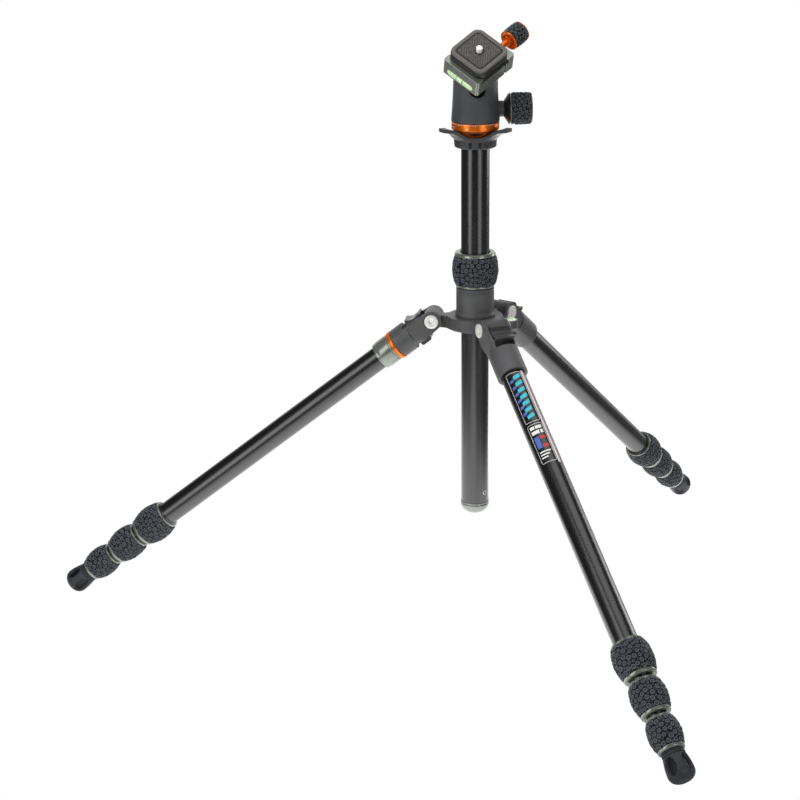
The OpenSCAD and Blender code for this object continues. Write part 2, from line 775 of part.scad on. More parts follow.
// Its neck is thinner than its thread, so that the plate keeps it
module camera_screw() color(STEEL) on_clamp() difference() {
    stud_r = stud_d / 2;
    union() {
        translate([0, 0, -dovetail_h]) cylinder(r = screw_head_r, h = screw_head_h);
        translate([0, 0, -dovetail_h]) cylinder(r = stud_neck_r, h = dovetail_h + plate_rise);
        translate([0, 0, plate_rise]) cylinder(r = stud_r, h = stud_rise - stud_tip);
        translate([0, 0, plate_rise + stud_rise - stud_tip])
            cylinder(r1 = stud_r, r2 = stud_r - stud_tip, h = stud_tip);
    }
    translate([0, 0, -dovetail_h]) cube([2 * screw_head_r, screw_groove_w, 2 * screw_groove_h], center = true);
}

// Legs

module leg_yoke(i) color(CASTING) on_leg(i) difference() {
    length = i == 0 ? monopod_yoke_length : yoke_length;
    union() {
        translate([0, 0, ear_s]) cylinder(r = yoke_r, h = length - ear_s);
        intersection() {
            union() {
                cross_pin(ear_r, ear_span);
                translate([0, ear_span / 2, 0]) rotate([90, 0, 0]) linear_extrude(height = ear_span) polygon([
                    [-ear_r, 0],
                    [ear_r, 0],
                    [ear_flare_r, ear_s + cut],
                    [-ear_flare_r, ear_s + cut]
                ]);
            }
            rotate_extrude() polygon([
                [0, -ear_r],
                [ear_corner_r, -ear_r],
                [ear_corner_r, ear_s / 2],
                [yoke_r, ear_s],
                [yoke_r, ear_s + cut],
                [0, ear_s + cut]
            ]);
        }
    }
    translate([-yoke_r - cut, -slot_w / 2, -ear_r - cut])
        cube([2 * (yoke_r + cut), slot_w, ear_r + cut + slot_s]);
    translate([0, 0, socket_s]) cylinder(r = tube_r(1), h = length);
    cross_pin(pin_r + running, ear_span + 2 * cut);
}

// Stop tab: a bar right through the yoke, with a scooped lip on the upper side for the finger
module leg_toggle(i) color(PLASTIC) on_leg(i) {
    bar_w = slot_w - 2 * running;
    difference() {
        union() {
            translate([0, bar_w / 2, 0]) rotate([90, 0, 0]) linear_extrude(height = bar_w) polygon([
                [-tab_lip_r, tab_lip_s],
                [-tab_lip_r + tab_foot_r, tab_lip_s],
                [0, tab_s],
                [tab_foot_reach - tab_foot_r, tab_s],
                [tab_foot_reach - tab_foot_r, tab_s + tab_t],
                [-tab_reach + tab_foot_r, tab_s + tab_t],
                [-tab_reach, tab_s + tab_t - tab_foot_r]
            ]);
            for (s = [tab_s + tab_foot_r, tab_s + tab_t - tab_foot_r])
                translate([tab_foot_reach - tab_foot_r, 0, s]) cross_pin(tab_foot_r, bar_w);
            translate([tab_foot_reach - 2 * tab_foot_r, -bar_w / 2, tab_s + tab_foot_r])
                cube([2 * tab_foot_r, bar_w, tab_t - 2 * tab_foot_r]);
        }
        translate([-tab_reach - tab_scoop_r + tab_scoop_depth, 0, tab_scoop_s])
            cross_pin(tab_scoop_r, bar_w + 2 * cut);
        cross_pin(barrel_r + air, bar_w + 2 * cut);
    }
}

// A leg tube, with the threaded ferrule and collet that its lock turns on
module leg_tube(i, section) color(ANODISED_BLACK) on_leg(i) {
    r = tube_r(section);
    translate([0, 0, tube_top(section)]) ring(r, r - tube_wall, tube_end(section) - tube_top(section));
    if (section <= LOCKS) {
        next_r = tube_r(section + 1);
        rotate_extrude() polygon([
            [r, lock_start(section) - ferrule_flange],
            [ferrule_r(section), lock_start(section) - ferrule_flange],
            [ferrule_r(section), lock_end(section) - ring_h - air],
            [next_r + running, lock_end(section) - ring_h - air],
            [next_r + running, tube_end(section)],
            [r, tube_end(section)]
        ]);
    }
}

// A twist lock: its nut, and the rubber grip on it
module leg_lock(i, lock) on_leg(i) {
    length = lock_lengths[lock - 1];
    core = nut_core_r(lock);
    start = lock_start(lock);
    color(GREEN) translate([0, 0, start]) rotate_extrude() polygon([
        [ferrule_r(lock) + running, 0],
        [core + ring_round / 2, 0],
        [core + ring_round, thin_ring_h],
        [core, thin_ring_h],
        [core, length - ring_h],
        [core + ring_step, length - ring_h],
        [core + ring_round / 2, length],
        [tube_r(lock + 1) + air, length],
        [tube_r(lock + 1) + air, length - ring_h],
        [ferrule_r(lock) + running, length - ring_h]
    ]);
    color(RUBBER) translate([0, 0, start + thin_ring_h + running])
        grip(core + running, core + grip_end_rise, lock_radii[lock - 1], length - ring_h - thin_ring_h - 2 * running);
}

module leg_foot(i) color(RUBBER) difference() {
    on_leg(i) difference() {
        rotate_extrude() polygon(concat(
            [[0, foot_start], [foot_neck_r, foot_start], [foot_neck_r, foot_start + foot_neck_h]],
            [for (a = [0 : foot_arc_steps]) [
                foot_edge_offset + foot_edge_r * cos(90 * a / foot_arc_steps),
                foot_edge_s + foot_edge_r * sin(90 * a / foot_arc_steps)
            ]],
            [[0, foot_end]]
        ));
        translate([0, 0, foot_start - cut]) cylinder(r = tube_r(LOCKS + 1), h = foot_socket + cut);
    }
    at_axis(-foot_length) cylinder(r = foot_reach + foot_length, h = foot_length);
}

// Monopod coupling on leg a

module monopod_ring() color(ORANGE) on_leg(0) translate([0, 0, monopod_yoke_length])
    ring(yoke_r + monopod_ring_proud, tube_r(1), monopod_ring_t);

module monopod_collar() color(GREEN) on_leg(0) translate([0, 0, monopod_yoke_length + monopod_ring_t + air / 2])
    rotate_extrude() polygon([
        [tube_r(1) + running, 0],
        [collar_r, 0],
        [collar_r, collar_length - collar_step_s],
        [collar_end_r, collar_length - collar_step_s / 2],
        [collar_end_r, collar_length],
        [tube_r(1) + running, collar_length]
    ]);

canopy();
hinge_bolts();
column_sleeve();
column_collet();
canopy_level();
column_lock_nut();
column_lock_grip();
column_tube();
column_end_cap();
head_platform();
head_screw();
pan_base();
head_housing();
ball_seat();
ball();
ball_knob();
ball_knob_grip();
clamp_body();
clamp_level();
jaw_pins();
clamp_jaw();
clamp_knob();
clamp_knob_grip();
quick_plate();
plate_pad();
camera_screw();
monopod_ring();
monopod_collar();
for (i = [0 : 2]) {
    leg = str("leg_", LEG_NAMES[i]);
    leg_yoke(i);
    leg_toggle(i);
    for (section = [1 : 4]) leg_tube(i, section);
    for (lock = [1 : LOCKS]) leg_lock(i, lock);
    leg_foot(i);
}
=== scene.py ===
from math import acos, asin, atan, atan2, ceil, cos, hypot, pi, radians, sin, sqrt

import bmesh
import bpy
import numpy as np
from mathutils import Matrix, Vector


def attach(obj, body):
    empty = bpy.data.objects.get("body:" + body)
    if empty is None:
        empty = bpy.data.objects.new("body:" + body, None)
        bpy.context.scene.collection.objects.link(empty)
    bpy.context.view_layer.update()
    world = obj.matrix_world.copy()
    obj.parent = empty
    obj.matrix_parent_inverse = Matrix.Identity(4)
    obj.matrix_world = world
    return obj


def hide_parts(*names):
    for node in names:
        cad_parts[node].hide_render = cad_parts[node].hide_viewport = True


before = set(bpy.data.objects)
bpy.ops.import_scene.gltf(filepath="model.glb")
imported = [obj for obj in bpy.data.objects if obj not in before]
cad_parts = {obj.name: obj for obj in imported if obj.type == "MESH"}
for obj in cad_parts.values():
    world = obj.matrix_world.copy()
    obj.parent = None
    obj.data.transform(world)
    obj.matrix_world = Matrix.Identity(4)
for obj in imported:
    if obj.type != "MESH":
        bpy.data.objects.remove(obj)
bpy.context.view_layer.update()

# ---------------------------------------------------------------------------------------------
# Canopy: the die-cast aluminium spider that joins the legs and the column. It is blasted and
# painted charcoal, with three hinge barrels and a small boss that holds the round level.


class Value:
    """A shader socket that can stand in a sum: each operator adds the Math node it means."""

    def __init__(self, nodes, socket):
        self.nodes, self.socket = nodes, socket

    def math(self, operation, *values):
        return self.nodes.add("ShaderNodeMath", {"operation": operation}, dict(enumerate(values)))

    def __add__(self, other):
        return self.math("ADD", self, other)

    def __sub__(self, other):
        return self.math("SUBTRACT", self, other)

    def __rsub__(self, other):
        return self.math("SUBTRACT", other, self)

    def __mul__(self, other):
        return self.math("MULTIPLY", self, other)

    def __lt__(self, other):
        return self.math("LESS_THAN", self, other)

    __radd__ = __add__
    __rmul__ = __mul__


class Nodes:
    """A node tree under way: add() makes any node and hands back one of its outputs."""

    def __init__(self, tree):
        self.tree = tree

    def feed(self, socket, value):
        if isinstance(value, Value):
            self.tree.links.new(value.socket, socket)
        else:
            socket.default_value = value

    def add(self, kind, settings=None, inputs=None, output=0):
        made = self.tree.nodes.new(kind)
        for key, value in (settings or {}).items():
            setattr(made, key, value)
        for key, value in (inputs or {}).items():
            self.feed(made.inputs[key], value)
        return Value(self, made.outputs[output])

    def place(self):
        return self.add("ShaderNodeTexCoord", output="Object")

    def noise(self, scale, detail=2.0, roughness=0.5):
        return self.add("ShaderNodeTexNoise", None, {
            "Vector": self.place(), "Scale": scale, "Detail": detail, "Roughness": roughness})

    def xyz(self, **parts):
        return self.add("ShaderNodeCombineXYZ", None, parts)

    def part(self, spot, axis):
        return self.add("ShaderNodeSeparateXYZ", None, {0: spot}, axis)

    def eased_range(self, value, low, high, start, end):
        return self.add("ShaderNodeMapRange", {"interpolation_type": "SMOOTHSTEP"}, {
            "Value": value, "From Min": low, "From Max": high, "To Min": start, "To Max": end})

    def ray(self, kind):
        return self.add("ShaderNodeLightPath", output=f"Is {kind} Ray")

    def blend(self, share, low, high):
        return self.add("ShaderNodeMix", {"data_type": "RGBA"}, {0: share, 6: low, 7: high}, 2)

    def bump(self, height, depth):
        return self.add("ShaderNodeBump", None, {"Height": height, "Distance": depth, "Strength": 1.0})


def finish(name, sockets, dress):
    """A material whose plain numbers sit on the shader, and whose changing values dress() adds."""
    material = bpy.data.materials.new(name)
    material.use_nodes = True
    nodes = Nodes(material.node_tree)
    shader = material.node_tree.nodes["Principled BSDF"]
    for key, value in sockets.items():
        nodes.feed(shader.inputs[key], value)
    for key, value in dress(nodes).items():
        nodes.feed(shader.inputs[key], value)
    return material


def tinted(low, high, scale=300.0, detail=2.0, gloss=None, bump=None):
    """A look that drifts between two colours. gloss is its least roughness and how much a noise adds
    to it, with the noise's scale and detail, and bump is a noise's scale and its depth in metres."""
    def dress(nodes):
        look = {"Base Color": nodes.blend(nodes.noise(scale, detail), (*low, 1), (*high, 1))}
        if gloss:
            least, share, *grain = gloss
            look["Roughness"] = least + share * nodes.noise(*grain)
        if bump:
            look["Normal"] = nodes.bump(nodes.noise(bump[0]), bump[1])
        return look
    return dress


def cast_look(dark, light, grain):
    """Painted casting: a fine pebbled skin, a little uneven in tone and in gloss."""
    def dress(nodes):
        pebbles = nodes.noise(1000 / grain, 3.0, 0.6)
        cloud = nodes.noise(38.0, 3.0)
        return {
            "Base Color": nodes.blend((cloud * 0.55 + pebbles * 0.45 - 0.3) * 2.2, (*dark, 1), (*light, 1)),
            "Roughness": 0.34 + cloud * 0.12,
            "Normal": nodes.bump(pebbles, 0.00022),
        }
    return dress


cast_grey = finish("cast_grey", {"Specular IOR Level": 0.7},
                   cast_look((0.046, 0.047, 0.049), (0.096, 0.097, 0.100), 0.55))

METRES = Matrix.Scale(0.001, 4)
HERE = Matrix.Identity(4)


def turn(degrees, axis="Z"):
    return Matrix.Rotation(radians(degrees), 4, axis)


def move(x, y, z):
    return Matrix.Translation((x, y, z))


def placed(name, data):
    thing = bpy.data.objects.new(name, data)
    bpy.context.scene.collection.objects.link(thing)
    return thing


def settled(thing):
    """The mesh that a thing's modifiers make of it."""
    return bpy.data.meshes.new_from_object(thing.evaluated_get(bpy.context.evaluated_depsgraph_get()))


def skinned(points, faces):
    mesh = bpy.data.meshes.new("skin")
    mesh.from_pydata(points, [], faces)
    return mesh


def piece(name, mesh, place, material, slot, body, *nodes, sharp=32, flat=False):
    """Puts a mesh where it belongs, hangs it on the empty of the body it rides on and hides the CAD solids it
    stands for.
    On a flat-sided casting, the big faces keep their shading and only the rounded edges turn."""
    mesh.transform(METRES @ place)
    work = bmesh.new()
    work.from_mesh(mesh)
    bmesh.ops.remove_doubles(work, verts=work.verts, dist=1e-7)
    bmesh.ops.recalc_face_normals(work, faces=work.faces)
    work.to_mesh(mesh)
    work.free()
    mesh.shade_smooth()
    mesh.set_sharp_from_angle(angle=radians(sharp))
    mesh.materials.clear()
    mesh.materials.append(material)
    thing = placed(name, mesh)
    if flat:
        even = thing.modifiers.new("even", "WEIGHTED_NORMAL")
        even.keep_sharp, even.weight = True, 100
        thing.data = settled(thing)
        thing.modifiers.remove(even)
    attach(thing, body)
    if nodes:
        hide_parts(*nodes)


def bevelled(mesh, width, angle=28, steps=2):
    """A mesh with its hard edges rounded."""
    rough = placed("rough", mesh)
    edge = rough.modifiers.new("edge", "BEVEL")
    edge.width, edge.segments, edge.limit_method = width, steps, "ANGLE"
    edge.angle_limit, edge.use_clamp_overlap, edge.miter_outer = radians(angle), False, "MITER_ARC"
    made = settled(rough)
    bpy.data.objects.remove(rough)
    return made


def carried(node, width, angle=28, steps=2):
    """A CAD solid's copy in millimetres, its flat faces made whole and its edges rounded."""
    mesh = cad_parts[node].data.copy()
    mesh.transform(METRES.inverted())
    work = bmesh.new()
    work.from_mesh(mesh)
    bmesh.ops.remove_doubles(work, verts=work.verts, dist=1e-3)
    bmesh.ops.dissolve_limit(work, angle_limit=radians(0.6), verts=work.verts, edges=work.edges)
    work.to_mesh(mesh)
    work.free()
    return bevelled(mesh, width, angle, steps)


def extruded(outline, low, high):
    """A flat outline in X and Y, given in order, stood up as a block along Z."""
    count = len(outline)
    return skinned([(x, y, low) for x, y in outline] + [(x, y, high) for x, y in outline],
                   [list(range(count)), list(range(count, 2 * count))]
                   + [(i, (i + 1) % count, count + (i + 1) % count, count + i) for i in range(count)])


def turned(profile, steps=96, closed=False, wave=None):
    """A lathe: (radius, height) points in order about Z. wave(angle, radius, height) moves a radius."""
    points, rings, faces = [], [], []
    for radius, height in profile:
        start = len(points)
        if radius < 1e-6:
            points.append((0, 0, height))
            rings.append([start])
            continue
        for i in range(steps):
            angle = 2 * pi * i / steps
            r = wave(angle, radius, height) if wave else radius
            points.append((r * cos(angle), r * sin(angle), height))
        rings.append(list(range(start, start + steps)))
    for low, high in zip(rings, rings[1:] + (rings[:1] if closed else [])):
        for i in range(steps):
            j = (i + 1) % steps
            corners = [low[i % len(low)], low[j % len(low)], high[j % len(high)], high[i % len(high)]]
            face = list(dict.fromkeys(corners))
            if len(face) > 2:
                faces.append(face)
    return skinned(points, faces)


def eased(points, radius, steps=3, closed=False):
    """Rounds the corners of an outline, as a tool's nose or a polish leaves them."""
    out = []
    for i, point in enumerate(points):
        if not closed and i in (0, len(points) - 1):
            out.append(tuple(point))
            continue
        here = Vector(point)
        back, on = Vector(points[i - 1]) - here, Vector(points[(i + 1) % len(points)]) - here
        size = min(radius, 0.45 * back.length, 0.45 * on.length)
        start, end = here + back.normalized() * size, here + on.normalized() * size
        for k in range(steps + 1):
            t = k / steps
            out.append(tuple(start * (1 - t) ** 2 + here * 2 * t * (1 - t) + end * t * t))
    return out


def ring(profile, ease, steps=96):
    """A closed lathe ring with its corners eased."""
    return turned(eased(profile, ease, closed=True), steps, closed=True)


def joined(*parts):
    """Several closed shells, each with its own place, as one casting's mesh."""
    work = bmesh.new()
    for mesh, place in parts:
        mesh.transform(place)
        work.from_mesh(mesh)
    bmesh.ops.recalc_face_normals(work, faces=work.faces)
    made = bpy.data.meshes.new("joined")
    work.to_mesh(made)
    work.free()
    return made


AXIS_X, CANOPY_TOP, CANOPY_T, CANOPY_R, SPIGOT_R = 102.861, 304.811, 12.0, 27.0, 16.0
HINGE_RADIUS, HINGE_Z, LEGS = 41.0, 300.311, {"a": 180, "b": -60, "c": 60}
LEVEL_REACH, LEVEL_R, LEVEL_TOP, BOSS_R = 34.0, 5.8, 300.511, 7.4
at_canopy = move(AXIS_X, 0, CANOPY_TOP)

ARM_SCOOP_X, ARM_SCOOP_Y, ARM_SCOOP_R = 32.5, 15.0, 9.5
waist = [(ARM_SCOOP_X - ARM_SCOOP_R * cos(a), ARM_SCOOP_Y - ARM_SCOOP_R * sin(a))
         for a in np.linspace(0.21, 2.57, 15)]
arm_plan = [(20, 13)] + waist + [(41, 9.7)]
arm_plan += [(x, -y) for x, y in reversed(arm_plan)]
barrel = eased([(4.0, -9.8), (9.6, -9.8), (9.6, 9.8), (4.0, 9.8)], 0.7, closed=True)
disc_edge = eased([(SPIGOT_R, -CANOPY_T), (CANOPY_R, -CANOPY_T), (CANOPY_R, 0), (SPIGOT_R, 0)], 1.1,
                  closed=True)
shells = [(turned(disc_edge, closed=True), HERE)]
for azimuth in LEGS.values():
    out = turn(azimuth)
    shells.append((bevelled(extruded(arm_plan, 0.12 - CANOPY_T, -0.12), 0.7, 60), out))
    shells.append((turned(barrel, closed=True), out @ move(HINGE_RADIUS, 0, HINGE_Z - CANOPY_TOP)
                   @ turn(90, "X")))
boss_low, boss_top = 0.12 - CANOPY_T, LEVEL_TOP - CANOPY_TOP
level_arm = [(20, -4.5), (LEVEL_REACH, -4.5), (LEVEL_REACH, 4.5), (20, 4.5)]
shells.append((bevelled(extruded(level_arm, boss_low, boss_top - 0.3), 0.6, 60), HERE))
boss = eased([(0, boss_low), (BOSS_R, boss_low), (BOSS_R, boss_top), (LEVEL_R, boss_top),
              (LEVEL_R, boss_top - 5), (0, boss_top - 5)], 0.4)
shells.append((turned(boss, 64), move(LEVEL_REACH, 0, 0)))
piece("canopy_casting", joined(*shells), at_canopy, cast_grey, "black_casting", "canopy", "canopy", flat=True)

# ---------------------------------------------------------------------------------------------
# Hinge bolts: bright stainless pins through the barrels, with a flat chamfered head at both ends
# and a six-sided socket in each head.

bright_steel = finish("bright_steel", {"Metallic": 0.45}, tinted(
    (0.84, 0.82, 0.78), (0.96, 0.94, 0.90), 900.0, gloss=(0.26, 0.1, 420.0, 3.0)))
piece("hinge_bolt_set", carried("hinge_bolts", 0.35), HERE, bright_steel, "steel", "canopy", "hinge_bolts")

# ---------------------------------------------------------------------------------------------
# Round level: a clear acrylic cup of pale green spirit glued into the canopy's boss, with a
# centring ring printed under its dome and a bubble against it.

spirit = finish("spirit_green", {"Roughness": 0.08, "Coat Weight": 1.0, "Coat Roughness": 0.03},
                tinted((0.50, 0.74, 0.36), (0.68, 0.88, 0.54), 160.0))
printed_black = finish("printed_black", {"Roughness": 0.35},
                       tinted((0.008, 0.008, 0.009), (0.016, 0.016, 0.017), 800.0))
bubble_look = finish("bubble_pale", {"Roughness": 0.05, "Coat Weight": 1.0},
                     tinted((0.74, 0.92, 0.6), (0.84, 0.96, 0.74)))
# The bezel's pale colour is a painted reflection of the white it sees at a grazing view.
level_rim = finish("level_rim", {"Roughness": 0.3}, tinted((0.62, 0.66, 0.60), (0.76, 0.80, 0.73), 500.0))

at_level = move(AXIS_X + LEVEL_REACH, 0, LEVEL_TOP)
dome = [(0, -4.9), (LEVEL_R - 0.05, -4.9), (LEVEL_R - 0.05, 0.15), (LEVEL_R - 0.6, 0.42)]
dome += [(r, 0.42 + 0.5 * (1 - (r / 5.2) ** 2)) for r in (4.6, 3.6, 2.4, 1.2)] + [(0, 0.92)]
piece("round_level_dome", turned(eased(dome, 0.25), 64), at_level, spirit, "vial", "canopy", "canopy_level")
piece("round_level_bezel", ring([
    (LEVEL_R - 0.7, 0.1), (LEVEL_R - 0.7, 0.55), (LEVEL_R + 0.35, 0.55), (LEVEL_R + 0.35, 0.02),
    (LEVEL_R - 0.2, 0.02)], 0.2, 64), at_level, level_rim, "steel", "canopy")
piece("round_level_ring", turned([(1.9, 0.7), (1.9, 0.9), (2.25, 0.88), (2.25, 0.68)], 48, closed=True),
      at_level, printed_black, "black_plastic", "canopy")
piece("round_level_bubble", turned([(0, 0.6), (1.35, 0.8), (1.2, 0.98), (0.7, 1.06), (0, 1.08)], 32),
      at_level @ move(0.5, -0.35, 0), bubble_look, "vial", "canopy")

# ---------------------------------------------------------------------------------------------
# Column sleeve and collet: a turned aluminium sleeve pressed into the canopy, painted as the
# castings are, with a fine groove under its top. The split nylon collet inside grips the column.

SLEEVE_R, SLEEVE_H, THREAD_R, COLLET_BORE = 18.3, 28.0, 17.0, 14.6
sleeve = [(COLLET_BORE, -12), (SPIGOT_R, -12), (SPIGOT_R, 0), (19.5, 0), (19.5, 1.9), (18.9, 3.3),
          (SLEEVE_R, 5.4), (SLEEVE_R, 24.1), (SLEEVE_R - 0.55, 24.3), (SLEEVE_R - 0.55, 25.1), (SLEEVE_R, 25.3),
          (SLEEVE_R, SLEEVE_H), (THREAD_R, SLEEVE_H)]
sleeve += [(THREAD_R - 0.5 * (k % 2), SLEEVE_H + 1 + 0.75 * k) for k in range(28)]
sleeve += [(THREAD_R - 0.6, SLEEVE_H + 22), (COLLET_BORE, SLEEVE_H + 22)]
piece("sleeve_turned", ring(sleeve, 0.35), at_canopy, cast_grey, "black_casting", "canopy", "column_sleeve")

nylon_black = finish("nylon_black", {"Roughness": 0.5}, tinted(
    (0.010, 0.010, 0.011), (0.020, 0.020, 0.021), 260.0, bump=(1400.0, 0.00008)))


def repaint(material, *nodes):
    """Gives CAD solids that keep their own shape a better finish."""
    for node in nodes:
        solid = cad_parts[node]
        solid.data.materials.clear()
        solid.data.materials.append(material)


repaint(nylon_black, "column_collet")

# ---------------------------------------------------------------------------------------------
# Column lock: a grey-green anodised nut with a wide bevelled ring above and a thin rim below.
# Its rubber sleeve is moulded with raised rings and dots, so that wet fingers can turn it.

LOCK_Z, LOCK_H, LOCK_CORE, LOCK_GRIP_R = 334.311, 33.2, 18.0, 22.3
RING_H, THIN_H = 3.2, 2.0

green_anodised = finish("green_anodised", {"Metallic": 0.75}, tinted(
    (0.275, 0.302, 0.262), (0.345, 0.372, 0.325), 60.0, 3.0, gloss=(0.22, 0.03, 120.0)))


def rubber_look(nodes):
    """Moulded rubber: the raised discs are painted paler than the ground, and palest at their rims, as a
    painted highlight where light catches them and partly as wear.
    """
    rim = nodes.add("ShaderNodeAttribute", {"attribute_name": "rim"}, output="Fac")
    cloud = nodes.noise(120.0, 3.0)
    ground = nodes.blend(cloud, (0.003, 0.004, 0.007, 1), (0.007, 0.009, 0.014, 1))
    return {
        "Base Color": nodes.blend(rim * (0.65 + 0.35 * cloud), ground, (0.118, 0.130, 0.146, 1)),
        "Roughness": 0.5 - 0.08 * rim,
        "Normal": nodes.bump(nodes.noise(1800.0, 2.0), 0.0001),
    }


grip_rubber = finish("grip_rubber", {"Specular IOR Level": 0.32}, rubber_look)

# One raised disc, a millimetre in radius: a flat top inside a thin rounded rim
disc_mesh = turned([(0, 0.70), (0.58, 0.66), (0.7, 0.96), (0.86, 1.0), (0.98, 0.6), (1.0, -0.6)], 14)
# The rim values are a painted highlight on each disc, palest on its rim and a little pale on its top, partly as
# wear.
disc_rim = disc_mesh.attributes.new("rim", "FLOAT", "POINT")
for index, vertex in enumerate(disc_mesh.vertices):
    disc_rim.data[index].value = (0.34, 0.3, 1.0, 1.0, 0.3, 0.0)[(index + 13) // 14]
disc = bpy.data.objects.new("disc", disc_mesh)


def tree_of(name, **kinds):
    """An empty Geometry Nodes tree, and a handle on each of its inputs."""
    tree = bpy.data.node_groups.new(name, "GeometryNodeTree")
    for key, kind in kinds.items():
        tree.interface.new_socket(key, socket_type="NodeSocket" + kind, in_out="INPUT")
    tree.interface.new_socket("Geometry", socket_type="NodeSocketGeometry", in_out="OUTPUT")
    nodes = Nodes(tree)
    return nodes, {key: nodes.add("NodeGroupInput", output=key) for key in kinds}


def stood(nodes, **inputs):
    """Stands a shape on each point, as real mesh."""
    copies = nodes.add("GeometryNodeInstanceOnPoints", None, inputs)
    return nodes.add("GeometryNodeRealizeInstances", None, {"Geometry": copies})


def ended(nodes, made, look):
    """Paints what a tree makes and hands it out."""
    painted = nodes.add("GeometryNodeSetMaterial", None, {"Geometry": made, "Material": look})
    nodes.tree.links.new(painted.socket, nodes.tree.nodes.new("NodeGroupOutput").inputs[0])
    return nodes.tree


def grown(tree, mesh, **values):
    """Runs a tree on a mesh and hands back what it makes as a plain mesh."""
    rough = placed("rough", mesh)
    modifier = rough.modifiers.new("grown", "NODES")
    modifier.node_group = tree
    for item in tree.interface.items_tree:
        if item.in_out == "INPUT" and item.name in values:
            modifier[item.identifier] = values[item.name]
    made = settled(rough)
    rough.modifiers.remove(modifier)
    bpy.data.objects.remove(rough)
    return made


def disc_tree():
    """Stands a disc on every point that has a size, and leaves the barrel under them."""
    nodes, given = tree_of("raised_discs", Geometry="Geometry", Disc="Object", Height="Float",
                           Finish="Material", Seed="Int")

    def named(name, kind):
        return nodes.add("GeometryNodeInputNamedAttribute", {"data_type": kind}, {"Name": name})

    size = named("size", "FLOAT")
    is_point = nodes.add("FunctionNodeCompare", {"operation": "GREATER_THAN"}, {"A": size, "B": 0.01})
    facing = nodes.add("FunctionNodeAlignRotationToVector", {"axis": "Z"},
                       {"Vector": named("facing", "FLOAT_VECTOR")})
    rise = nodes.add("FunctionNodeRandomValue", {"data_type": "FLOAT"},
                     {"Min": 0.8, "Max": 1.15, "Seed": given["Seed"]}, "Value") * given["Height"]
    scale = nodes.xyz(X=size, Y=size, Z=rise)
    shape = nodes.add("GeometryNodeObjectInfo", None, {"Object": given["Disc"]}, "Geometry")
    discs = stood(nodes, Points=given["Geometry"], Selection=is_point, Instance=shape, Rotation=facing,
                  Scale=scale)
    barrel = nodes.add("GeometryNodeDeleteGeometry", {"domain": "POINT"},
                       {"Geometry": given["Geometry"], "Selection": is_point})
    both = nodes.add("GeometryNodeJoinGeometry")
    for part in (discs, barrel):
        nodes.tree.links.new(part.socket, both.socket.node.inputs[0])
    return ended(nodes, both, given["Finish"])


raised_discs = disc_tree()


def packed(length, radius, sizes, seed):
    """Places for discs on a rolled-out barrel: big ones first, each pushed up against its neighbours."""
    rng = np.random.default_rng(seed)
    round_ = 2 * pi * radius
    spots = np.column_stack([rng.uniform(0, round_, 26000), rng.uniform(0, length, 26000)])
    room = np.minimum(np.minimum(spots[:, 1], length - spots[:, 1]) + 0.35, sizes[1])
    taken = []
    wanted = np.sort(rng.uniform(0, 1, 420) ** 1.5)[::-1] * (sizes[1] - sizes[0]) + sizes[0]
    for want in wanted:
        free = np.flatnonzero(room >= want)
        if not len(free):
            continue
        near = free[np.argsort(room[free])[: max(1, len(free) // 60)]]
        at = spots[rng.choice(near)]
        taken.append((at[0], at[1], want))
        across = np.abs(spots[:, 0] - at[0])
        across = np.minimum(across, round_ - across)
        room = np.minimum(room, np.hypot(across, spots[:, 1] - at[1]) - want - 0.46)
    return taken


def barrel_r(share, end, middle):
    return end + (middle - end) * sin(pi * min(max(share, 0), 1)) ** 0.7


def moulded_grip(core, end, middle, low, high, rise, sizes, seed, seam=0.0):
    """A rubber barrel round Z with its raised discs, as one plain mesh. A seam is a thin upright ridge."""
    length = high - low
    ground = rise * 0.62
    profile = [(core, low)]
    profile += [(barrel_r(k / 16, end, middle) - ground, low + length * k / 16) for k in range(17)]
    profile += [(core, high)]

    def parted(angle, radius, height):
        return radius + seam * (min(angle, 2 * pi - angle) < 0.01 and radius > core + 0.3)

    mesh = turned(eased(profile, 0.4, 2, closed=True), 200 if seam else 96, closed=True, wave=parted)
    points, sizes_at, facings = [], [], []
    for along, height, size in packed(length - 0.8, middle, sizes, seed):
        if seam and min(along, 2 * pi * middle - along) < size * 0.75:
            continue
        share = (height + 0.4) / length
        step = 0.02
        slope = (barrel_r(share + step, end, middle) - barrel_r(share - step, end,
                                                                middle)) / (2 * step * length)
        angle = along / middle
        tilt = atan(slope)
        facing = (cos(angle) * cos(tilt), sin(angle) * cos(tilt), -sin(tilt))
        r = barrel_r(share, end, middle) - rise
        points.append((r * cos(angle), r * sin(angle), low + share * length))
        sizes_at.append(size)
        facings.append(facing)
    base = len(mesh.vertices)
    mesh.vertices.add(len(points))
    for name, kind in (("size", "FLOAT"), ("facing", "FLOAT_VECTOR"), ("rim", "FLOAT")):
        mesh.attributes.new(name, kind, "POINT")
    for k, (point, size, facing) in enumerate(zip(points, sizes_at, facings)):
        mesh.vertices[base + k].co = point
        mesh.attributes["size"].data[base + k].value = size
        mesh.attributes["facing"].data[base + k].vector = facing
    return grown(raised_discs, mesh, Disc=disc, Height=rise, Finish=grip_rubber, Seed=seed)


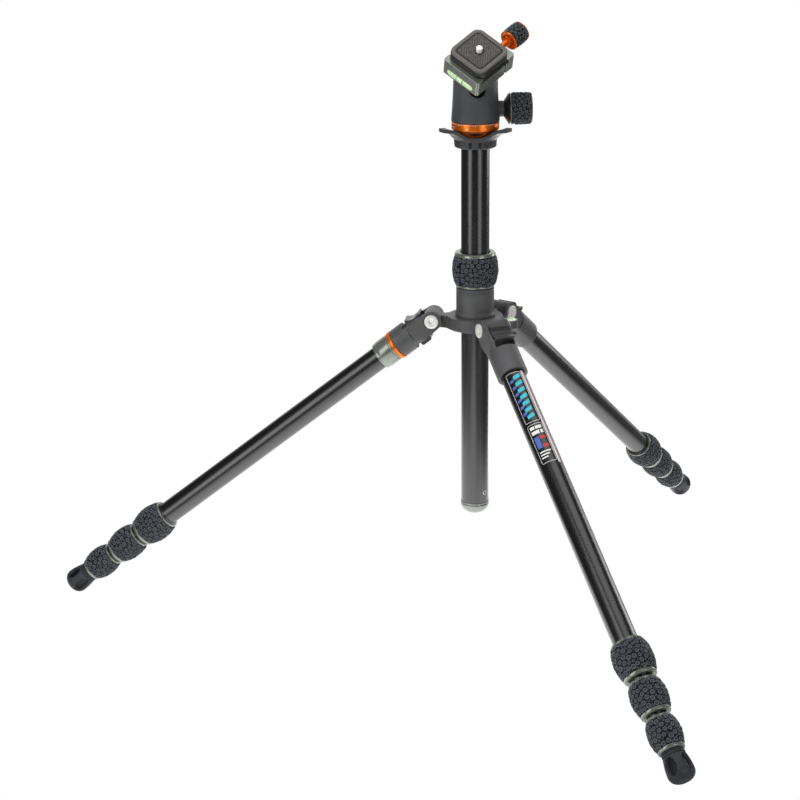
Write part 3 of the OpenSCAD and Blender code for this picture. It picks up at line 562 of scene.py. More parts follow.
at_lock = move(AXIS_X, 0, LOCK_Z)
piece("column_lock_ring", ring([
    (17.06, 0), (18.7, 0), (19.0, 0.5), (19.0, 1.7), (18.4, THIN_H), (LOCK_CORE, THIN_H),
    (LOCK_CORE, LOCK_H - RING_H), (19.6, LOCK_H - RING_H), (19.75, LOCK_H - RING_H + 0.5), (19.3, LOCK_H - 0.9),
    (18.0, LOCK_H), (14.9, LOCK_H), (14.4, LOCK_H - 0.8), (14.1, LOCK_H - 3.4), (17.06, LOCK_H - 3.4)], 0.3,
    128),
    at_lock, green_anodised, "green_anodised", "column_lock", "column_lock_nut")
column_grip = moulded_grip(LOCK_CORE, 19.3, LOCK_GRIP_R, THIN_H + 0.05, LOCK_H - RING_H - 0.05, 1.1, (0.7, 2.6),
                           11, 0.8)
piece("column_lock_sleeve", column_grip, at_lock @ turn(-125), grip_rubber, "grip_rubber", "column_lock",
      "column_lock_grip", sharp=50)

# ---------------------------------------------------------------------------------------------
# Centre column: a black anodised tube, drawn and lightly brushed along its length. A polished
# grey-green cap closes its lower end and a grub screw in a pale collar holds the cap.

COLUMN_R, COLUMN_BORE, COLUMN_BOTTOM, COLUMN_LENGTH = 13.5, 12.0, 113.511, 363.0


def tube_look(nodes):
    """Black anodised tube: glossy, with a faint cloud in its gloss and the finest of grain."""
    cloud = nodes.noise(26.0, 3.0)
    grain = nodes.noise(900.0, 2.0)
    return {
        "Base Color": nodes.blend(cloud, (0.0018, 0.0018, 0.0022, 1), (0.0036, 0.0034, 0.0032, 1)),
        "Roughness": 0.23 + 0.04 * cloud + 0.03 * grain,
    }


tube_black = finish("tube_black", {"IOR": 2.0}, tube_look)
at_column = move(AXIS_X, 0, COLUMN_BOTTOM)
piece("column_drawn_tube", ring([
    (COLUMN_BORE, 0), (COLUMN_R, 0), (COLUMN_R, COLUMN_LENGTH), (COLUMN_BORE, COLUMN_LENGTH)], 0.3, 128),
    at_column, tube_black, "black_tube", "column", "column_tube")
CAP_R, CAP_EDGE, CAP_DEPTH = 13.95, -1.6, 10.0
cap = [(0, 8), (COLUMN_BORE, 8), (COLUMN_BORE, 0), (COLUMN_R, 0), (COLUMN_R, 1.5), (CAP_R, 1.5), (CAP_R, 0.5),
       (CAP_R - 0.5, 0.25), (CAP_R - 0.5, -0.4), (CAP_R, -0.65), (CAP_R, CAP_EDGE)]
cap += [(CAP_R * cos(pi / 28 * k), CAP_EDGE - CAP_DEPTH * sin(pi / 28 * k)) for k in range(1, 14)]
cap += [(0, CAP_EDGE - CAP_DEPTH)]
piece("column_cap", turned(eased(cap, 0.3, 2), 96), at_column, green_anodised, "green_anodised", "column",
      "column_end_cap")

HEAD_TURN = turn(-79)
satin_black = finish("satin_black", {"Roughness": 0.42}, tinted(
    (0.010, 0.010, 0.011), (0.017, 0.017, 0.018), 90.0, bump=(1700.0, 0.00004)))
GRUB_AT, GRUB_Z = -40, 12.2
at_grub = at_column @ turn(GRUB_AT) @ move(COLUMN_R - 1.3, 0, GRUB_Z) @ turn(90, "Y")
piece("cap_grub_collar", ring([(1.15, 0), (1.95, 0), (1.95, 1.5), (1.15, 1.5)], 0.15, 32),
      at_grub, bright_steel, "steel", "column")
piece("cap_grub_screw", turned([(0, 0.0), (1.2, 0.0), (1.2, 1.4), (0.6, 1.42), (0.6, 0.4), (0, 0.3)], 24),
      at_grub, printed_black, "steel", "column")

# ---------------------------------------------------------------------------------------------
# Platform: the die-cast top of the column. A round hub carries three plates that flare up to
# blunt tips, and a tongue stands back in a notch under its rim. A steel stud holds the head.

PLATFORM_Z, HUB_R, NOTCH_AT, NOTCH_HALF, NOTCH_TOP = 468.511, 20.3, radians(-85), 0.285, 6.8
WING_REACH, WING_Z, WING_T, WING_RISE, SCALLOP_R = 36.8, 7.6, 3.5, 8.9, 162.3
FLARE = ((0, 0), (0.15, 0.25), (0.32, 0.6), (0.55, 0.9), (1, 1))
at_platform = move(AXIS_X, 0, PLATFORM_Z)


def notched(angle, radius, height):
    """Cuts two slits under the hub's rim, with a tongue set back between them."""
    off = abs((angle - NOTCH_AT + pi) % (2 * pi) - pi)
    if radius < 18 or height > NOTCH_TOP or off > NOTCH_HALF:
        return radius
    return radius - (1.1 if off < 0.6 * NOTCH_HALF else 3.2)


def wing_plate(rows=26, across=18):
    """One wing as a closed plate: its sides are the scallops, and it rises towards its tip."""
    points, faces = [], []
    centre = HUB_R + SCALLOP_R
    for row in range(rows + 1):
        share = max(row - 2, 0) / (rows - 2)
        radius = (17.0, 18.8)[row] if row < 2 else HUB_R + (WING_REACH - HUB_R) * share ** 2
        lean = 0.0
        if row > 2:
            lean = acos((radius ** 2 + centre ** 2 - SCALLOP_R ** 2) / (2 * radius * centre))
        lift = np.interp(share ** 2, *zip(*FLARE)) * WING_RISE
        for side in range(across + 1):
            angle = (2 * side / across - 1) * (pi / 3 - lean)
            spot = (radius * cos(angle), radius * sin(angle))
            points += [(*spot, WING_Z + lift), (*spot, WING_Z + WING_T + lift)]
    wide = 2 * (across + 1)
    for row in range(rows):
        for side in range(across):
            a = row * wide + 2 * side
            faces += [(a, a + 2, a + wide + 2, a + wide), (a + 1, a + wide + 1, a + wide + 3, a + 3)]
        for a in (row * wide, row * wide + 2 * across):
            faces.append((a, a + 1, a + wide + 1, a + wide))
    for side in range(across):
        for a in (2 * side, rows * wide + 2 * side):
            faces.append((a, a + 1, a + 3, a + 2))
    return bevelled(joined((skinned(points, faces), HERE)), 0.55, 50)


cast_dark = finish("cast_dark", {"Specular IOR Level": 0.6},
                   cast_look((0.024, 0.025, 0.028), (0.056, 0.057, 0.061), 0.55))
hub = eased([(4.8, 0), (18.4, 0), (19.1, 0.15), (19.9, 1.2), (20.25, NOTCH_TOP - 0.02),
             (20.27, NOTCH_TOP + 0.02), (20.2, 8.6), (19.6, 10.9), (4.8, 10.9)], 0.25, 2, closed=True)
piece("platform_hub", turned(hub, 264, closed=True, wave=notched), at_platform, cast_dark, "black_casting",
      "column", "head_platform")
for number, azimuth in enumerate((-24.7, 95.3, 215.3), 1):
    piece(f"platform_wing_{number}", wing_plate(), at_platform @ turn(azimuth),
          cast_dark, "black_casting", "column", "head_platform", flat=True)
piece("platform_set_screw", turned(eased([(0, 0.3), (1.5, 0.3), (1.5, 0.75), (0.8, 0.75), (0.8, 0.1), (0, 0.1)],
                                         0.1), 24),
      at_platform @ turn(-57) @ move(19.6, 0, 4.3) @ turn(90, "Y"), satin_black, "black_plastic", "column")
repaint(bright_steel, "head_screw", "jaw_pins")

# ---------------------------------------------------------------------------------------------
# Pan base: an orange anodised ring that the housing turns on. Its edge is engraved every five
# degrees and numbered every forty-five, and the marks are filled with white.

PLATFORM_H, PAN_TOP, PAN_R, DIAL_MARKS = 17.2, 24.3, 22.5, 72

orange_anodised = finish("orange_anodised", {"Metallic": 0.65}, tinted(
    (0.90, 0.16, 0.008), (1.0, 0.24, 0.02), 70.0, 3.0, gloss=(0.24, 0.03, 120.0)))


def slotted(angle, radius, height):
    """Mills the crescent slot into the ring's cone, wide above and rounded below."""
    off = abs((angle - NOTCH_AT + pi) % (2 * pi) - pi)
    depth = (15.9 - height) / 3.4
    return radius - 3.0 * (radius > 15 and 0 < depth < 1 and off < 0.4 * sqrt(max(1 - depth ** 2, 0)))


cone = [(z, 16.3 + (z - 11.15) * 0.98) for z in (11.15, 12.3, 12.6, 13.0, 13.4, 13.9, 14.4, 15.0, 15.85, 15.95,
                                                 16.3)]
pan = [(9.0, 11.15)] + [(r, z) for z, r in cone] + [(20.7, 16.5), (20.7, 17.3)]
pan += eased([(20.7, 17.3), (PAN_R, 17.3), (PAN_R, PAN_TOP), (9.0, PAN_TOP)], 0.4)[1:]
piece("pan_ring", turned(pan, 220, closed=True, wave=slotted), at_platform, orange_anodised, "orange_anodised",
      "column", "pan_base")
# A black bed inside the crescent slot: painted shade in the slot.
piece("pan_slot_bed", turned([(13.0, 12.2), (15.6, 12.2), (18.9, 16.1), (13.0, 16.1)], closed=True),
      at_platform, nylon_black, "black_plastic", "column")
# A black ring let into the undercut between the band and the cone: painted shade for the dark line there.
piece("pan_gap_seal", turned([(18.0, 16.4), (21.0, 16.4), (21.2, 17.2), (21.2, 17.4), (18.0, 17.4)],
                             closed=True),
      at_platform, nylon_black, "black_plastic", "column")

mark_white = finish("mark_white", {"Roughness": 0.5},
                    tinted((0.70, 0.70, 0.68), (0.86, 0.86, 0.84), 900.0))


def dial_tree():
    """A ring of thin upright marks, with a longer one at every ninth place."""
    nodes, given = tree_of("dial_marks", Radius="Float", Top="Float", Short="Float", Long="Float",
                           Finish="Material")
    index = nodes.add("GeometryNodeInputIndex")
    angle = index * (2 * pi / DIAL_MARKS)
    middle = index + 0.5
    is_long = middle.math("MODULO", middle, 9.0) < 1.0
    tall = given["Short"] + is_long * (given["Long"] - given["Short"])
    spot = nodes.xyz(X=angle.math("COSINE", angle) * given["Radius"],
                     Y=angle.math("SINE", angle) * given["Radius"], Z=given["Top"] - tall * 0.5)
    line = nodes.add("GeometryNodeMeshLine", None, {"Count": DIAL_MARKS})
    line = nodes.add("GeometryNodeSetPosition", None, {"Geometry": line, "Position": spot})
    bar = nodes.add("GeometryNodeMeshCube", None, {"Size": (0.1, 0.42, 1.0)})
    heading = nodes.xyz(Z=angle)
    scale = nodes.xyz(X=1.0, Y=1.0, Z=tall)
    return ended(nodes, stood(nodes, Points=line, Instance=bar, Rotation=heading, Scale=scale), given["Finish"])


dial = grown(dial_tree(), skinned([], []), Radius=PAN_R + 0.01, Top=PAN_TOP - 0.45, Short=1.0, Long=1.5,
             Finish=mark_white)
piece("pan_marks", dial, at_platform @ turn(-85), mark_white, "steel", "column")

for count in range(8):
    words = bpy.data.curves.new("number", "FONT")
    words.body, words.size, words.align_x, words.extrude = str(count * 45), 2.1, "CENTER", 0.05
    text = placed("number", words)
    number = settled(text)
    bpy.data.objects.remove(text)
    for vertex in number.vertices:
        x, y, z = vertex.co
        angle = x / PAN_R
        vertex.co = ((PAN_R + 0.01 + z) * sin(angle), -(PAN_R + 0.01 + z) * cos(angle), y)
    piece(f"pan_number_{count * 45}", number, at_platform @ turn(30 + 45 * count)
          @ move(0, 0, PLATFORM_H + 1.7), mark_white, "steel", "column")

# ---------------------------------------------------------------------------------------------
# Housing: the turned aluminium body of the ball head, blasted and anodised dark grey. It has a
# drop notch for the ball's stem and a boss for the locking screw, and a nylon seat inside.

housing_grey = finish("housing_grey", {"Specular IOR Level": 0.45},
                      cast_look((0.040, 0.042, 0.047), (0.072, 0.074, 0.080), 0.42))
piece("housing_body", carried("head_housing", 0.6), HERE, housing_grey, "grey_casting", "head", "head_housing",
      flat=True)
repaint(nylon_black, "ball_seat")

# ---------------------------------------------------------------------------------------------
# Ball: a hard anodised ball with its stem and the flange that carries the clamp, turned in one.

BALL_Z, BALL_R, STEM_R, BALL_TILT = 56.6, 17.0, 7.0, 41.4
at_head = at_platform @ HEAD_TURN
at_ball = at_head @ move(0, 0, BALL_Z) @ turn(BALL_TILT, "Y")
arc = [(BALL_R * sin(a), -BALL_R * cos(a))
       for a in np.linspace(0, pi - asin(STEM_R / BALL_R), 40)]
arc[0] = (0, -BALL_R)
stem = [(STEM_R, 16.6), (STEM_R, 21.2), (10, 22.0), (10, 24.0), (0, 24.0)]
piece("ball_turned", turned(arc + eased([arc[-1]] + stem, 0.5)[1:], 96), at_ball, tube_black, "black_tube",
      "ball", "ball")

# ---------------------------------------------------------------------------------------------
# Ball lock: a black anodised knob on its screw, with a thin pale green line at each end of a
# rubber sleeve like the one on the column lock.

KNOB_AT, KNOB_R, KNOB_START = 35.3, 15.1, 26.8

at_knob = at_head @ move(0, 0, KNOB_AT) @ turn(-90, "X")
piece("ball_lock_core", turned(eased([
    (0, 4), (3.9, 4), (3.9, 26.8), (7.6, 26.8), (8.6, 27.4), (14.1, 31.0), (14.3, 31.7), (12.9, 31.8),
    (12.9, 51.4), (13.6, 51.5), (13.4, 52.3), (10.5, 52.5), (10.2, 52.1), (0, 52.1)], 0.3), 96), at_knob,
    satin_black, "black_plastic", "ball_knob", "ball_knob")
for label, start in (("inner", 31.75), ("outer", 51.4)):
    piece(f"ball_lock_line_{label}", ring([
        (12.95, start), (14.75, start), (14.85, start + 0.55), (14.4, start + 1.05), (12.95, start + 1.05)],
        0.2, 96), at_knob, green_anodised, "green_anodised", "ball_knob")
knob_grip = moulded_grip(12.95, 14.5, KNOB_R, 32.85, 51.35, 1.5, (0.8, 2.0), 23)
piece("ball_lock_sleeve", knob_grip, at_knob, grip_rubber, "grip_rubber", "ball_knob", "ball_knob_grip",
      sharp=50)

# ---------------------------------------------------------------------------------------------
# Clamp: two milled jaws in grey-green anodised aluminium. One is part of the body and holds a
# tube level, and the other slides on two pins when the knob is turned.

CLAMP_TURN, CLAMP_RISE = 43.5, 41.4
at_clamp = at_ball @ turn(CLAMP_TURN) @ move(0, 0, CLAMP_RISE)
piece("clamp_fixed_jaw", carried("clamp_body", 0.5), HERE, green_anodised, "green_anodised", "clamp",
      "clamp_body", flat=True)
piece("clamp_moving_jaw", carried("clamp_jaw", 0.45), HERE, green_anodised, "green_anodised", "jaw",
      "clamp_jaw", flat=True)

VIAL_R, VIAL_LENGTH = 4.3, 33.4
at_vial = at_clamp @ move(0, 3 - 24.6, -12.2) @ turn(90, "Y")
half = VIAL_LENGTH / 2 - VIAL_R
tube = [(VIAL_R * sin(a), -half - VIAL_R * cos(a)) for a in np.linspace(0, pi / 2, 10)]
tube[0] = (0, -half - VIAL_R)
piece("clamp_vial", turned(tube + [(r, -z) for r, z in reversed(tube)], 48), at_vial, spirit, "vial", "clamp",
      "clamp_level")
for side in (-1, 1):
    piece(f"clamp_vial_line_{'ab'[side > 0]}", turned([
        (VIAL_R - 0.2, -0.22), (VIAL_R + 0.06, -0.22), (VIAL_R + 0.06, 0.22), (VIAL_R - 0.2, 0.22)], 48,
        closed=True),
        at_vial @ move(0, 0, side * 3.6), printed_black, "black_plastic", "clamp")
bubble = [(1.9 * sin(a), -3.1 * cos(a)) for a in np.linspace(0, pi, 14)]
bubble[0], bubble[-1] = (0, -3.1), (0, 3.1)
piece("clamp_vial_bubble", turned(bubble, 32), at_vial @ move(-1.2, -2.7, 0.6), bubble_look, "vial", "clamp")

# ---------------------------------------------------------------------------------------------
# Clamp knob: an orange anodised core on the clamp's screw, dished towards the clamp, with a
# rubber sleeve between its two rims.

at_clamp_knob = at_clamp @ move(2.5, 0, -7.6) @ turn(-90, "X")
CORE_START, CORE_END, CORE_R = 39.3, 57.9, 10.2
piece("clamp_knob_core", turned(eased([
    (0, 4), (3, 4), (3, CORE_START + 4.2), (4.4, CORE_START + 4.4), (6.6, CORE_START + 2.4),
    (7.3, CORE_START + 0.4), (8.2, CORE_START), (9.7, CORE_START + 0.1), (9.8, CORE_START + 1.15),
    (8.6, CORE_START + 1.2), (8.6, CORE_END - 1.2), (9.8, CORE_END - 1.15), (9.6, CORE_END - 0.3),
    (8.9, CORE_END), (3.4, CORE_END), (3, CORE_END - 1), (0, CORE_END - 1)],
    0.3), 96), at_clamp_knob, orange_anodised, "orange_anodised", "clamp_knob", "clamp_knob")
small_grip = moulded_grip(8.65, 9.7, CORE_R, CORE_START + 1.25, CORE_END - 1.25, 1.1, (0.7, 1.8), 31)
piece("clamp_knob_sleeve", small_grip, at_clamp_knob, grip_rubber, "grip_rubber", "clamp_knob",
      "clamp_knob_grip", sharp=50)

# ---------------------------------------------------------------------------------------------
# Camera plate: a milled dovetail plate, anodised black, with a rubber pad let into its top. The
# pad is moulded with a fine grid inside a groove, and the camera screw stands in the middle.

PLATE, PLATE_R, PAD_Z, PAD_TOP = 41.5, 8.0, 6.8, 9.0
piece("plate_body", carried("quick_plate", 0.5), HERE, satin_black, "black_tube", "plate", "quick_plate",
      flat=True)

pad_rubber = finish("pad_rubber", {"Specular IOR Level": 0.35}, tinted(
    (0.088, 0.082, 0.075), (0.135, 0.127, 0.118), 220.0, 3.0, (0.6, 0.12, 500.0), (1500.0, 0.00012)))


def round_box(wide, tall, corner, steps=10):
    """One turn round a box with round corners, about its middle."""
    out = []
    for quarter, (cx, cy) in enumerate(((1, 1), (-1, 1), (-1, -1), (1, -1))):
        for k in range(steps + 1):
            a = pi / 2 * (quarter + k / steps)
            out.append((cx * (wide / 2 - corner) + corner * cos(a), cy * (tall / 2 - corner) + corner * sin(a)))
    return out


def slab_ring(inset):
    return round_box(PLATE - 2 * inset, PLATE - 2 * inset, max(PLATE_R - inset, 0.4))


def stacked(levels, hole):
    """Skins a pile of such turns, closed below and above by a round hole."""
    count = len(slab_ring(0))
    points, faces = [], []
    for inset, z in levels:
        points += [(x, y, z) for x, y in slab_ring(inset)]
    for z in (levels[-1][1], levels[0][1]):
        for x, y in slab_ring(0):
            a = atan2(y, x)
            points.append((hole * cos(a), hole * sin(a), z))
    layers = len(levels) + 2
    for layer in range(layers):
        for i in range(count):
            j = (i + 1) % count
            above = (layer + 1) % layers
            faces.append((layer * count + i, layer * count + j, above * count + j, above * count + i))
    return skinned(points, faces)


piece("pad_moulding", stacked([
    (0.45, PAD_Z), (0.32, PAD_Z + 0.25), (0.32, PAD_TOP - 0.9), (0.5, PAD_TOP - 0.4), (0.95, PAD_TOP - 0.1),
    (1.6, PAD_TOP - 0.02), (4.1, PAD_TOP), (4.25, PAD_TOP - 0.12), (4.3, PAD_TOP - 0.6)], 3.4), at_clamp,
    pad_rubber, "pad_rubber", "plate", "plate_pad", sharp=40)
# A thin black sheet under the grid's studs, inside the groove: painted shade between the studs.
piece("pad_field", stacked([(4.35, PAD_TOP - 0.62), (4.35, PAD_TOP - 0.34)], 3.9), at_clamp, nylon_black,
      "pad_rubber", "plate")


def grid_tree():
    """Turned square studs, one on every point."""
    nodes, given = tree_of("pad_grid", Geometry="Geometry", Stud="Float", Height="Float", Finish="Material")
    size = nodes.xyz(X=given["Stud"], Y=given["Stud"], Z=given["Height"])
    stud = nodes.add("GeometryNodeMeshCube", None, {"Size": size})
    heading = nodes.xyz(Z=pi / 4)
    return ended(nodes, stood(nodes, Points=given["Geometry"], Instance=stud, Rotation=heading),
                 given["Finish"])


PITCH = 1.55
spots = []
for row in range(-20, 21):
    for column in range(-20, 21):
        x, y = (row - column) * PITCH / sqrt(2), (row + column) * PITCH / sqrt(2)
        reach, corner = PLATE / 2 - 5.9, 3.0
        corner_off = hypot(max(abs(x) - reach + corner, 0), max(abs(y) - reach + corner, 0))
        if abs(x) < reach and abs(y) < reach and corner_off < corner and hypot(x, y) > 4.7:
            spots.append((x, y, PAD_TOP - 0.19))
studs = grown(grid_tree(), skinned(spots, []), Stud=1.15, Height=0.42, Finish=pad_rubber)
piece("pad_grid", studs, at_clamp, pad_rubber, "pad_rubber", "plate")

THREAD_PITCH, THREAD_DEPTH, STUD_R = 1.27, 0.75, 3.175


def thread(angle, radius, height):
    """A screw thread cut into the top of the camera screw."""
    if radius < STUD_R - 0.05 or height < PAD_TOP:
        return radius
    share = (height / THREAD_PITCH - angle / (2 * pi)) % 1
    return radius - THREAD_DEPTH * abs(share - 0.5)


screw = [(0, -4.3), (7, -4.3), (7, -2.1), (2.7, -2.1), (2.7, 8.95), (STUD_R - 0.1, 9.0)]
screw += [(STUD_R, 9.05 + 0.15 * k) for k in range(26)] + [(2.5, 13.4), (1.6, 13.5), (0, 13.5)]
piece("camera_screw_cut", turned(screw, 48, wave=thread), at_clamp, bright_steel, "steel", "camera_screw",
      "camera_screw")

# ---------------------------------------------------------------------------------------------
# Leg yokes: charcoal castings that fork round the canopy's barrels, with the tube glued into
# their lower end. The angle stop is a moulded tab that runs in a slot through the fork.

SPLAY = 52.0


def on_leg(azimuth):
    """Leg frame: Z runs down the leg from its hinge pin, and X is its underside."""
    return (move(AXIS_X, 0, 0) @ turn(azimuth)
            @ move(HINGE_RADIUS, 0, HINGE_Z) @ turn(180 - SPLAY, "Y"))


tab_black = finish("tab_black", {"Coat Weight": 0.3, "Coat Roughness": 0.2}, tinted(
    (0.024, 0.024, 0.025), (0.042, 0.042, 0.043), gloss=(0.26, 0.08, 300.0)))
for leg in LEGS:
    piece(f"leg_{leg}_fork", carried(f"leg_{leg}_yoke", 0.7), HERE, cast_grey, "black_casting", f"leg_{leg}",
          f"leg_{leg}_yoke", flat=True)
    piece(f"leg_{leg}_tab", carried(f"leg_{leg}_toggle", 0.6), HERE, tab_black, "black_plastic",
          f"leg_{leg}_toggle", f"leg_{leg}_toggle", flat=True)

# ---------------------------------------------------------------------------------------------
# Monopod coupling: one leg unscrews above an orange witness ring and a grey-green collar.

MONOPOD = 43.5
piece("monopod_ring_turned", ring([
    (11.5, MONOPOD), (14.7, MONOPOD), (15.1, MONOPOD + 0.4), (15.1, MONOPOD + 3.1), (14.6, MONOPOD + 3.5),
    (11.5, MONOPOD + 3.5)], 0.25), on_leg(LEGS["a"]), orange_anodised, "orange_anodised", "leg_a",
    "monopod_ring")
collar = [(11.56, 47.15), (14.1, 47.15), (14.3, 47.5), (14.3, 48.6), (13.9, 48.8), (13.9, 49.4), (14.3, 49.6),
          (14.3, 60.15), (13.7, 62.6), (13.7, 64.8), (13.3, 65.15), (11.56, 65.15)]
piece("monopod_collar_turned", ring(collar, 0.3), on_leg(LEGS["a"]), green_anodised,
      "green_anodised", "monopod_collar", "monopod_collar")

# ---------------------------------------------------------------------------------------------
# Leg tubes: four black anodised tubes to a leg, each sliding in the last. Only the thickest shows
# while the leg is short. The nested ones keep their CAD shape, and show in the gaps of the locks.

LOCK_STARTS, LOCK_LENGTHS = (345.5, 383.5, 419.0), (35.0, 32.5, 31.5)
GRIP_R, CORE_RS, TUBE_RS = (18.4, 16.8, 15.3), (13.76, 12.26, 10.76), (11.5, 10.0, 8.5, 7.0)

for leg, azimuth in LEGS.items():
    top = 30.2
    end = LOCK_STARTS[0] + LOCK_LENGTHS[0] - 3.5
    piece(f"leg_{leg}_upper_tube", ring([
        (10.3, top), (11.5, top), (11.5, 344.0), (12.7, 344.0), (12.7, end), (10.06, end), (10.06, end - 9.7),
        (10.3, end - 9.7)], 0.2, 128), on_leg(azimuth), tube_black, "black_tube", f"leg_{leg}",
        f"leg_{leg}_tube_1")
    repaint(tube_black, *(f"leg_{leg}_tube_{n}" for n in (2, 3, 4)))

# ---------------------------------------------------------------------------------------------
# Front leg's print: a framed row of slanted bars with plain blocks under it, silk-screened in five
# inks over the black anodising, beside a silver and a red line that run along the tube.


def wrapped(shapes, radius, centre, lift=0.03, sunk=0.06):
    """Flat chains of sections, each a pair of (across, along) points, cut into strips and laid round
    a tube as thin films. A chain may close on itself, as a frame does."""
    points, faces = [], []
    for sections, closed in shapes:
        fine = []
        for (a, d), (b, c) in zip(sections, sections[1:] + (sections[:1] if closed else [])):
            strips = max(1, ceil(max(abs(b[0] - a[0]), abs(c[0] - d[0]))))
            for k in range(strips):
                fine.append([[p + (q - p) * k / strips for p, q in zip(*ends)] for ends in ((a, b), (d, c))])
        if not closed:
            fine.append(sections[-1])
        base, steps = len(points), len(fine)
        for section in fine:
            for x, y in section:
                for reach in (radius - sunk, radius + lift):
                    angle = centre - x / radius
                    points.append((reach * cos(angle), reach * sin(angle), y))
        for k in range(steps if closed else steps - 1):
            i, j = base + 4 * k, base + 4 * ((k + 1) % steps)
            faces += [(i + 1, i + 3, j + 3, j + 1), (i, j, j + 2, i + 2), (i, i + 1, j + 1, j),
                      (i + 2, j + 2, j + 3, i + 3)]
        if not closed:
            end = base + 4 * (steps - 1)
            faces += [(base, base + 2, base + 3, base + 1), (end, end + 1, end + 3, end + 2)]
    return skinned(points, faces)


def bar(x, y, wide, tall, slant=0.0):
    return [((x, y), (x, y + tall)), ((x + wide, y + slant), (x + wide, y + slant + tall))], False


def framed(x, y, wide, tall, line, corner=1.6, steps=5):
    """A thin line round a box with round corners."""
    def turn_of(inset):
        return [(x + wide / 2 + across, y + tall / 2 + along)
                for across, along in round_box(wide - 2 * inset, tall - 2 * inset, corner - inset, steps)]
    outer, inner = turn_of(0), turn_of(line)
    return list(zip(outer, inner)), True


white = [framed(-7.4, 58.6, 15.0, 56, 0.38), framed(-7.4, 117.2, 15.0, 42, 0.38)]
white += [bar(-5.4, 119.6, 4.4, 3.2), bar(-0.2, 119.6, 6.0, 3.2), bar(-5.4, 124.6, 7.6, 3.6),
          bar(3.2, 124.6, 2.6, 3.6)]
white += [bar(-5.4, 147.0 + 3 * k, 11.2 - 2.4 * k, 1.3) for k in range(3)]
teal = [bar(-1.0 - 0.3 * k, 63.0 + 7.4 * k, 7.0, 3.9, -2.4) for k in range(7)]
blue = [bar(-5.6, 66.4 + 7.4 * k, 3.9, 3.0, -1.2) for k in range(6)] + [bar(-5.4, 131, 4.8, 12.4)]
silver = [bar(8.3, 57.5, 2.6, 104)]
red = [bar(11.3, 57.5, 0.6, 104), bar(0.4, 131, 5.4, 3.1), bar(0.4, 140.3, 5.4, 3.1)]
for colour, shapes, low, high in (("white", white, (0.62, 0.62, 0.61), (0.80, 0.80, 0.79)),
                                  ("teal", teal, (0.02, 0.36, 0.46), (0.05, 0.50, 0.60)),
                                  ("blue", blue, (0.045, 0.085, 0.36), (0.08, 0.15, 0.50)),
                                  ("silver", silver, (0.50, 0.50, 0.50), (0.66, 0.66, 0.66)),
                                  ("red", red, (0.42, 0.02, 0.02), (0.58, 0.05, 0.04))):
    piece(f"leg_b_print_{colour}", wrapped(shapes, 11.5, radians(-153)), on_leg(LEGS["b"]),
          finish(f"ink_{colour}", {"Roughness": 0.32}, tinted(low, high, 240.0)), "steel", "leg_b")

# ---------------------------------------------------------------------------------------------
# Twist locks: three to a leg, each a grey-green nut with a wide ring below, a thin rim above and
# a rubber sleeve like the column lock's. One layout of discs is moulded for each size.

for number, (start, length, grip_r, core) in enumerate(zip(LOCK_STARTS, LOCK_LENGTHS, GRIP_R, CORE_RS), 1):
    bore, next_r = TUBE_RS[number - 1] + 1.26, TUBE_RS[number] + 0.3
    nut = eased([
        (bore, 0), (core + 0.5, 0), (core + 0.95, 0.35), (core + 0.95, 0.8), (core + 0.55, 1.0),
        (core + 0.55, 1.25), (core + 0.95, 1.45), (core + 0.85, THIN_H), (core, THIN_H),
        (core, length - RING_H), (core + 1.15, length - RING_H), (core + 1.45, length - RING_H + 0.4),
        (core + 1.3, length - 0.9), (core + 0.3, length), (next_r + 0.4, length), (next_r, length - 0.6),
        (next_r, length - RING_H), (bore, length - RING_H)], 0.25, closed=True)
    grip = moulded_grip(core + 0.06, core + 1.3, grip_r, THIN_H + 0.06, length - RING_H - 0.06, 1.05,
                        (0.7, 2.5), 40 + number)
    for leg, azimuth in LEGS.items():
        place = on_leg(azimuth) @ move(0, 0, start)
        body = f"leg_{leg}_lock_{number}"
        piece(f"{body}_nut", turned(nut, 112, closed=True), place, green_anodised, "green_anodised", body, body)
        rolled = turn({"a": 0, "b": 70, "c": 200}[leg] + 25 * number)
        piece(f"{body}_sleeve", grip.copy(), place @ rolled, grip_rubber, "grip_rubber", body, body, sharp=50)

# ---------------------------------------------------------------------------------------------
# Feet: moulded rubber feet pushed on the thinnest tubes, with ribs round the neck, four thumb
# scoops in the body and a rounded edge that rolls on the floor.


def foot_look(nodes):
    """Foot rubber: a faint cloud in its tone, with painted shade that turns it near black where the thumb
    scoops are sunk.
    """
    sunk = nodes.add("ShaderNodeAttribute", {"attribute_name": "sunk"}, output="Fac")
    skin = nodes.blend(nodes.noise(150.0, 3.0), (0.022, 0.024, 0.029, 1), (0.034, 0.036, 0.042, 1))
    return {
        "Base Color": nodes.blend(sunk, skin, (0.003, 0.004, 0.007, 1)),
        "Roughness": 0.44 + 0.1 * nodes.noise(400.0),
        "Normal": nodes.bump(nodes.noise(1500.0), 0.00008),
    }


foot_rubber = finish("foot_rubber", {"Specular IOR Level": 0.4}, foot_look)
FOOT_START, FOOT_END, EDGE_R, EDGE_OFFSET = 451.1, 478.1, 8.0, 4.3
SCOOP_S, SCOOP_HALF, SCOOP_SPAN, SCOOP_DEPTH = 464.9, 8.6, 0.5, 3.3


def sunk_share(angle, s):
    """How far into one of the four thumb scoops a spot is, from 0 outside to 1 on its bed."""
    off = (angle - radians(17)) % (pi / 2) - pi / 4
    share = 1 - (off / SCOOP_SPAN) ** 2 - ((s - SCOOP_S) / SCOOP_HALF) ** 2
    return min(1.0, 2.6 * max(share, 0)) ** 0.8


def scooped(angle, radius, s):
    return radius - SCOOP_DEPTH * sunk_share(angle, s) * (radius > 8.5)


